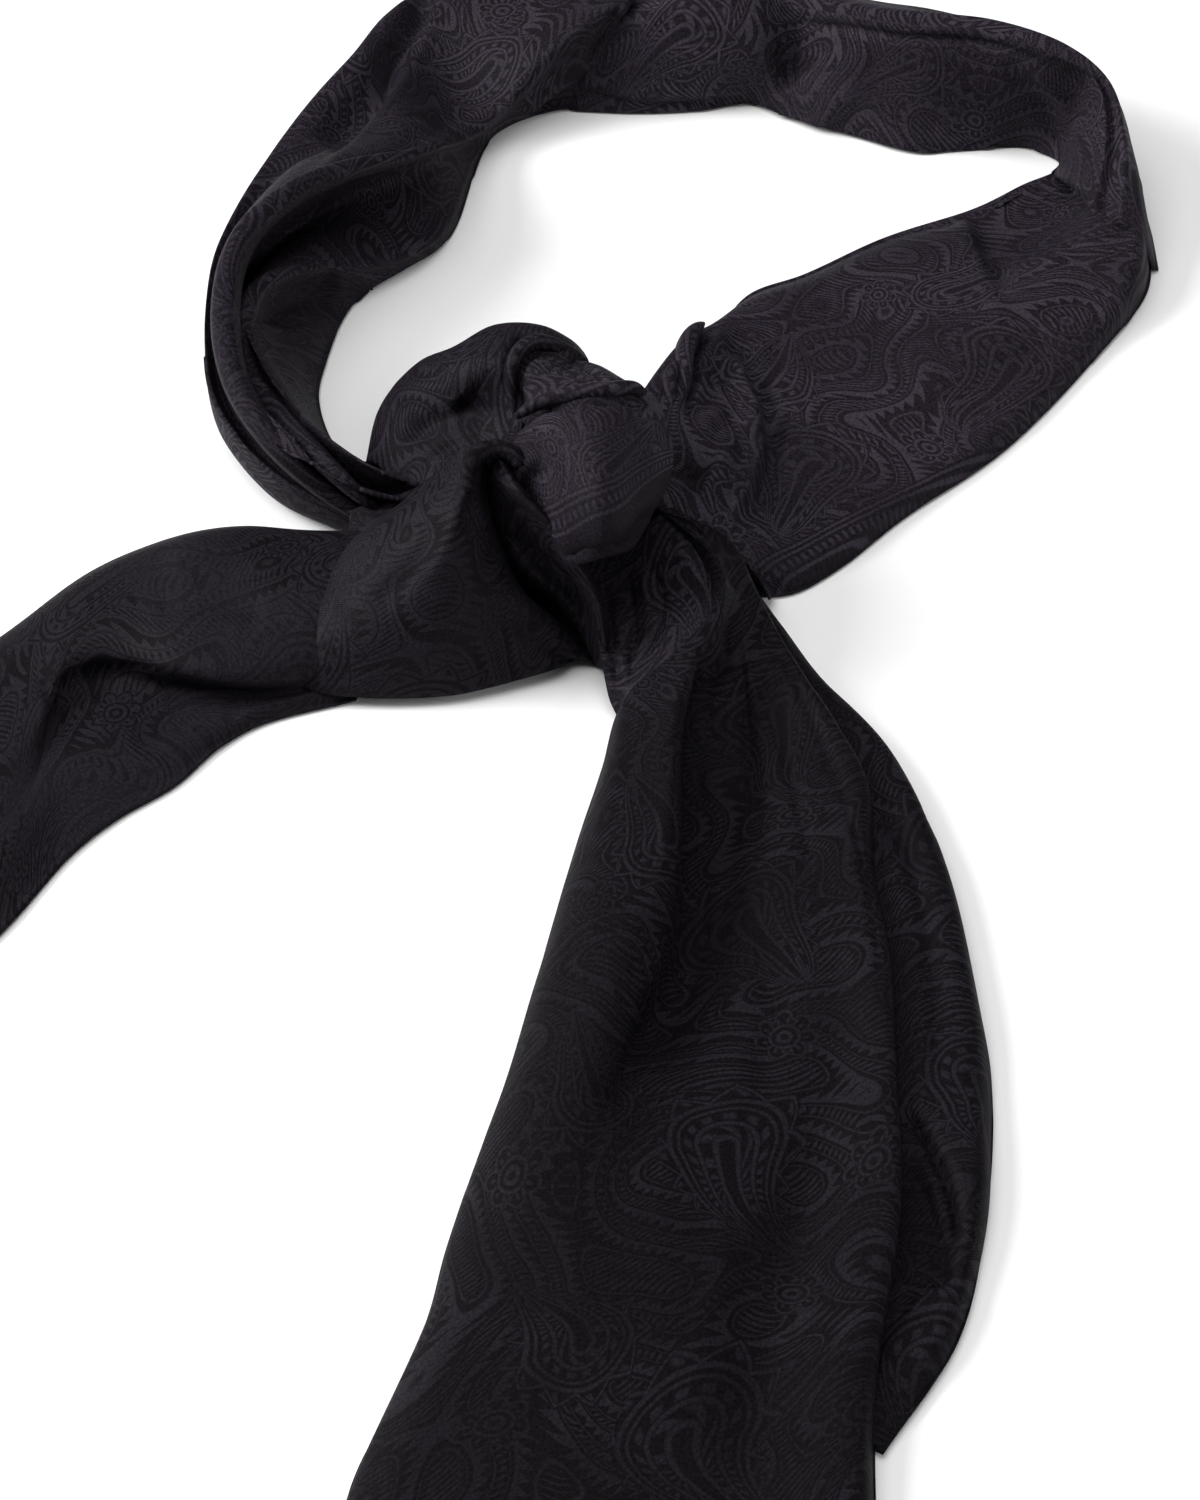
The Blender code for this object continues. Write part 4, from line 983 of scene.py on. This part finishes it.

# Each stretch of cloth as lay() takes it, and how its silk is turned and edged. The gain scales the silk's colour as
# painted light and shade: higher where the stretch catches sheen and light, as the back band does, and lower where it
# lies in shade, as the front tail does.
STRETCHES = {
    "wrap": (dict(lines=knot_wrap_lines(), fine=(16, 22), solid="knot_wrap", flat=(0.034, 0.081),
                  rests_on=["knot_mouth"], ripple=0.15, drop=(1.5, 0.0)),
             dict(turn=72.2, edge=52.6, painted_light_gain=1.9)),
    "cone": (dict(lines=knot_lines(KNOT_CONE), fine=(20, 16), solid="knot_cone", flat=(0.049, 0.060),
                  rests_on=["tail_left"], drop=(0.0, 0.8)),
             dict(reverse=True, painted_light_gain=0.75)),
    "lobe": (dict(lines=knot_lines(KNOT_LOBE), fine=(18, 26), solid="knot_lobe", flat=(0.062, 0.065),
                  rests_on=["loop_left"], reach=5.0, drop=(0.0, 4.0), ripple=0.2),
             dict(painted_light_gain=1.15)),
    "pleat": (dict(lines=knot_lines(KNOT_PLEAT), fine=(16, 9), solid="knot_pleat", flat=(0.026, 0.051),
                   rests_on=["knot_cone"], ripple=0.12),
              {}),
    "mouth": (dict(lines=knot_lines(KNOT_MOUTH), fine=(16, 26), solid="knot_mouth", flat=(0.023, 0.043),
                   rests_on=["tail_front"], drop=(0.0, 0.5), ripple=0.2),
              dict(painted_light_gain=1.7)),
    "front_tail": (dict(lines=fold_lines(TAIL_FRONT_FOLDS, TAIL_FRONT, TAIL_FRONT_ACROSS), fine=(20, 14),
                        solid="tail_front", flat=(0.085, 0.344), rests_on=["tail_under"], drop=(0.0, 0.5)),
                   dict(painted_light_gain=0.7)),
    "under_tail": (dict(lines=fold_lines(TAIL_UNDER_FOLDS, TAIL_UNDER, TAIL_UNDER_ACROSS), fine=(20, 14),
                        solid="tail_under", flat=(0.028, 0.228), drop=(0.0, 0.5)),
                   dict(painted_light_gain=0.75)),
    "left_tail": (dict(lines=fold_lines(TAIL_LEFT_FOLDS, TAIL_LEFT, TAIL_LEFT_ACROSS), fine=(20, 10),
                       solid="tail_left", flat=(0.068, 0.237), drop=(0.0, 0.5)),
                  dict(reverse=True, painted_light_gain=0.7)),
    "left_band": (dict(lines=fold_lines(LOOP_LEFT_FOLDS, LOOP_LEFT, LOOP_LEFT_ACROSS), fine=(20, 12),
                       solid="loop_left", flat=(0.085, 0.247), drop=(0.0, 1.6)),
                  dict(painted_light_gain=1.6)),
    "back_band": (dict(lines=fold_lines(LOOP_BACK_FOLDS, LOOP_BACK, LOOP_BACK_ACROSS), fine=(14, 11),
                       solid="loop_back", flat=(0.085, 0.131), drop=(0.0, 1.6)),
                  dict(painted_light_gain=2.2)),
    "right_band": (dict(lines=fold_lines(LOOP_RIGHT_FOLDS, LOOP_RIGHT, LOOP_RIGHT_ACROSS), fine=(18, 20),
                        solid="loop_right", flat=(0.072, 0.187), grain=53.0),
                   dict(turn=194.0, edge=30.6, painted_light_gain=1.9)),
    "knot_hollow": (dict(lines=sections(KNOT_HOLLOW), fine=(10, 12), solid="knot_lobe", flat=(0.017, 0.047),
                         rests_on=["lobe"]), {}),
    "knot_side": (dict(lines=sections(KNOT_SIDE), fine=(10, 10), solid="knot_lobe", flat=(0.022, 0.060),
                       rests_on=["right_band"]), {}),
    "tail_tuck": (dict(lines=sections(TAIL_TUCK), fine=(10, 10), solid="loop_right", flat=(0.022, 0.032),
                       rests_on=["right_band"]), {}),
}
STRETCH_SHIFT = 0.017     # m, from the pattern on one stretch to the next
STRETCH_SEED = 7.0

# The narrow rolls where an edge or a fold curls over: the piece each lies on, its solid, its radius in
# millimetres, and the path of its top on the photograph.
ROLLS = {
    "outer_roll": ("left_band", "loop_left", 2.8, ((440, 146), (400, 156), (356, 165), (312, 180), (274, 203),
                   (247, 230), (231, 262), (224, 300), (225, 342), (236, 384), (258, 422), (289, 459), (326, 491),
                   (358, 514), (384, 527))),
    "inner_roll": ("left_band", "loop_left", 2.4, ((322, 268), (302, 270), (280, 275), (256, 291),
                   (244, 317), (242, 345), (251, 377), (270, 405), (299, 437), (331, 469), (362, 497), (388, 513))),
    "lobe_roll": ("lobe", "knot_lobe", 1.7, ((590, 365), (576, 356), (556, 346), (536, 342), (521, 350), (512, 366),
                  (511, 388), (514, 414))),
    "lip_roll": ("wrap", "knot_wrap", 1.2, ((516, 416), (540, 402), (562, 396), (590, 391), (615, 389), (634, 388),
                 (645, 394))),
    "cone_rim": ("cone", "knot_cone", 1.3, ((467, 492), (468, 468), (477, 454), (494, 448), (510, 453), (520, 466))),
    "gather_roll": ("right_band", "loop_right", 2.0, ((705, 322), (693, 332), (685, 352), (683, 378), (678, 406))),
    "gather_curl": ("right_band", "loop_right", 1.6, ((682, 360), (673, 370), (669, 384), (672, 404))),
}
ROLL_CUT = 6.4            # the cut's width over the roll's radius
NARROWEST_CUT = 10.3      # mm
ROLL_FINE = (4, 4)
ROLL_SHIFT = (0.013, 0.02)      # m

camera()
studio()
weave = weave_group()
paisley = paisley_group(teardrop_group(), rosette_group())
grids = {}
for number, (name, (spec, finish)) in enumerate(STRETCHES.items()):
    material = silk(name, paisley, weave, shift=(STRETCH_SHIFT * number, 0.0), **finish)
    grids[name] = lay(name, material, strokes=CREASES.get(name, ()), seed=STRETCH_SEED * number, **spec)
for name, (under, solid, radius, path) in ROLLS.items():
    lines = rolled(on_surface(grids[under], path), radius)
    length = float(np.linalg.norm(np.diff(lines[ROLL_TOP], axis=0), axis=1).sum())
    # each roll takes the painted light and shade gain of the stretch it lies on
    material = silk(name, paisley, weave, shift=ROLL_SHIFT, painted_light_gain=STRETCHES[under][1].get("painted_light_gain", 1.0))
    lay(name, material, lines, ROLL_FINE, solid, (max(ROLL_CUT * radius, NARROWEST_CUT) * MM, length * MM),
        rests_on=[under], ripple=ROLL_RIPPLE)
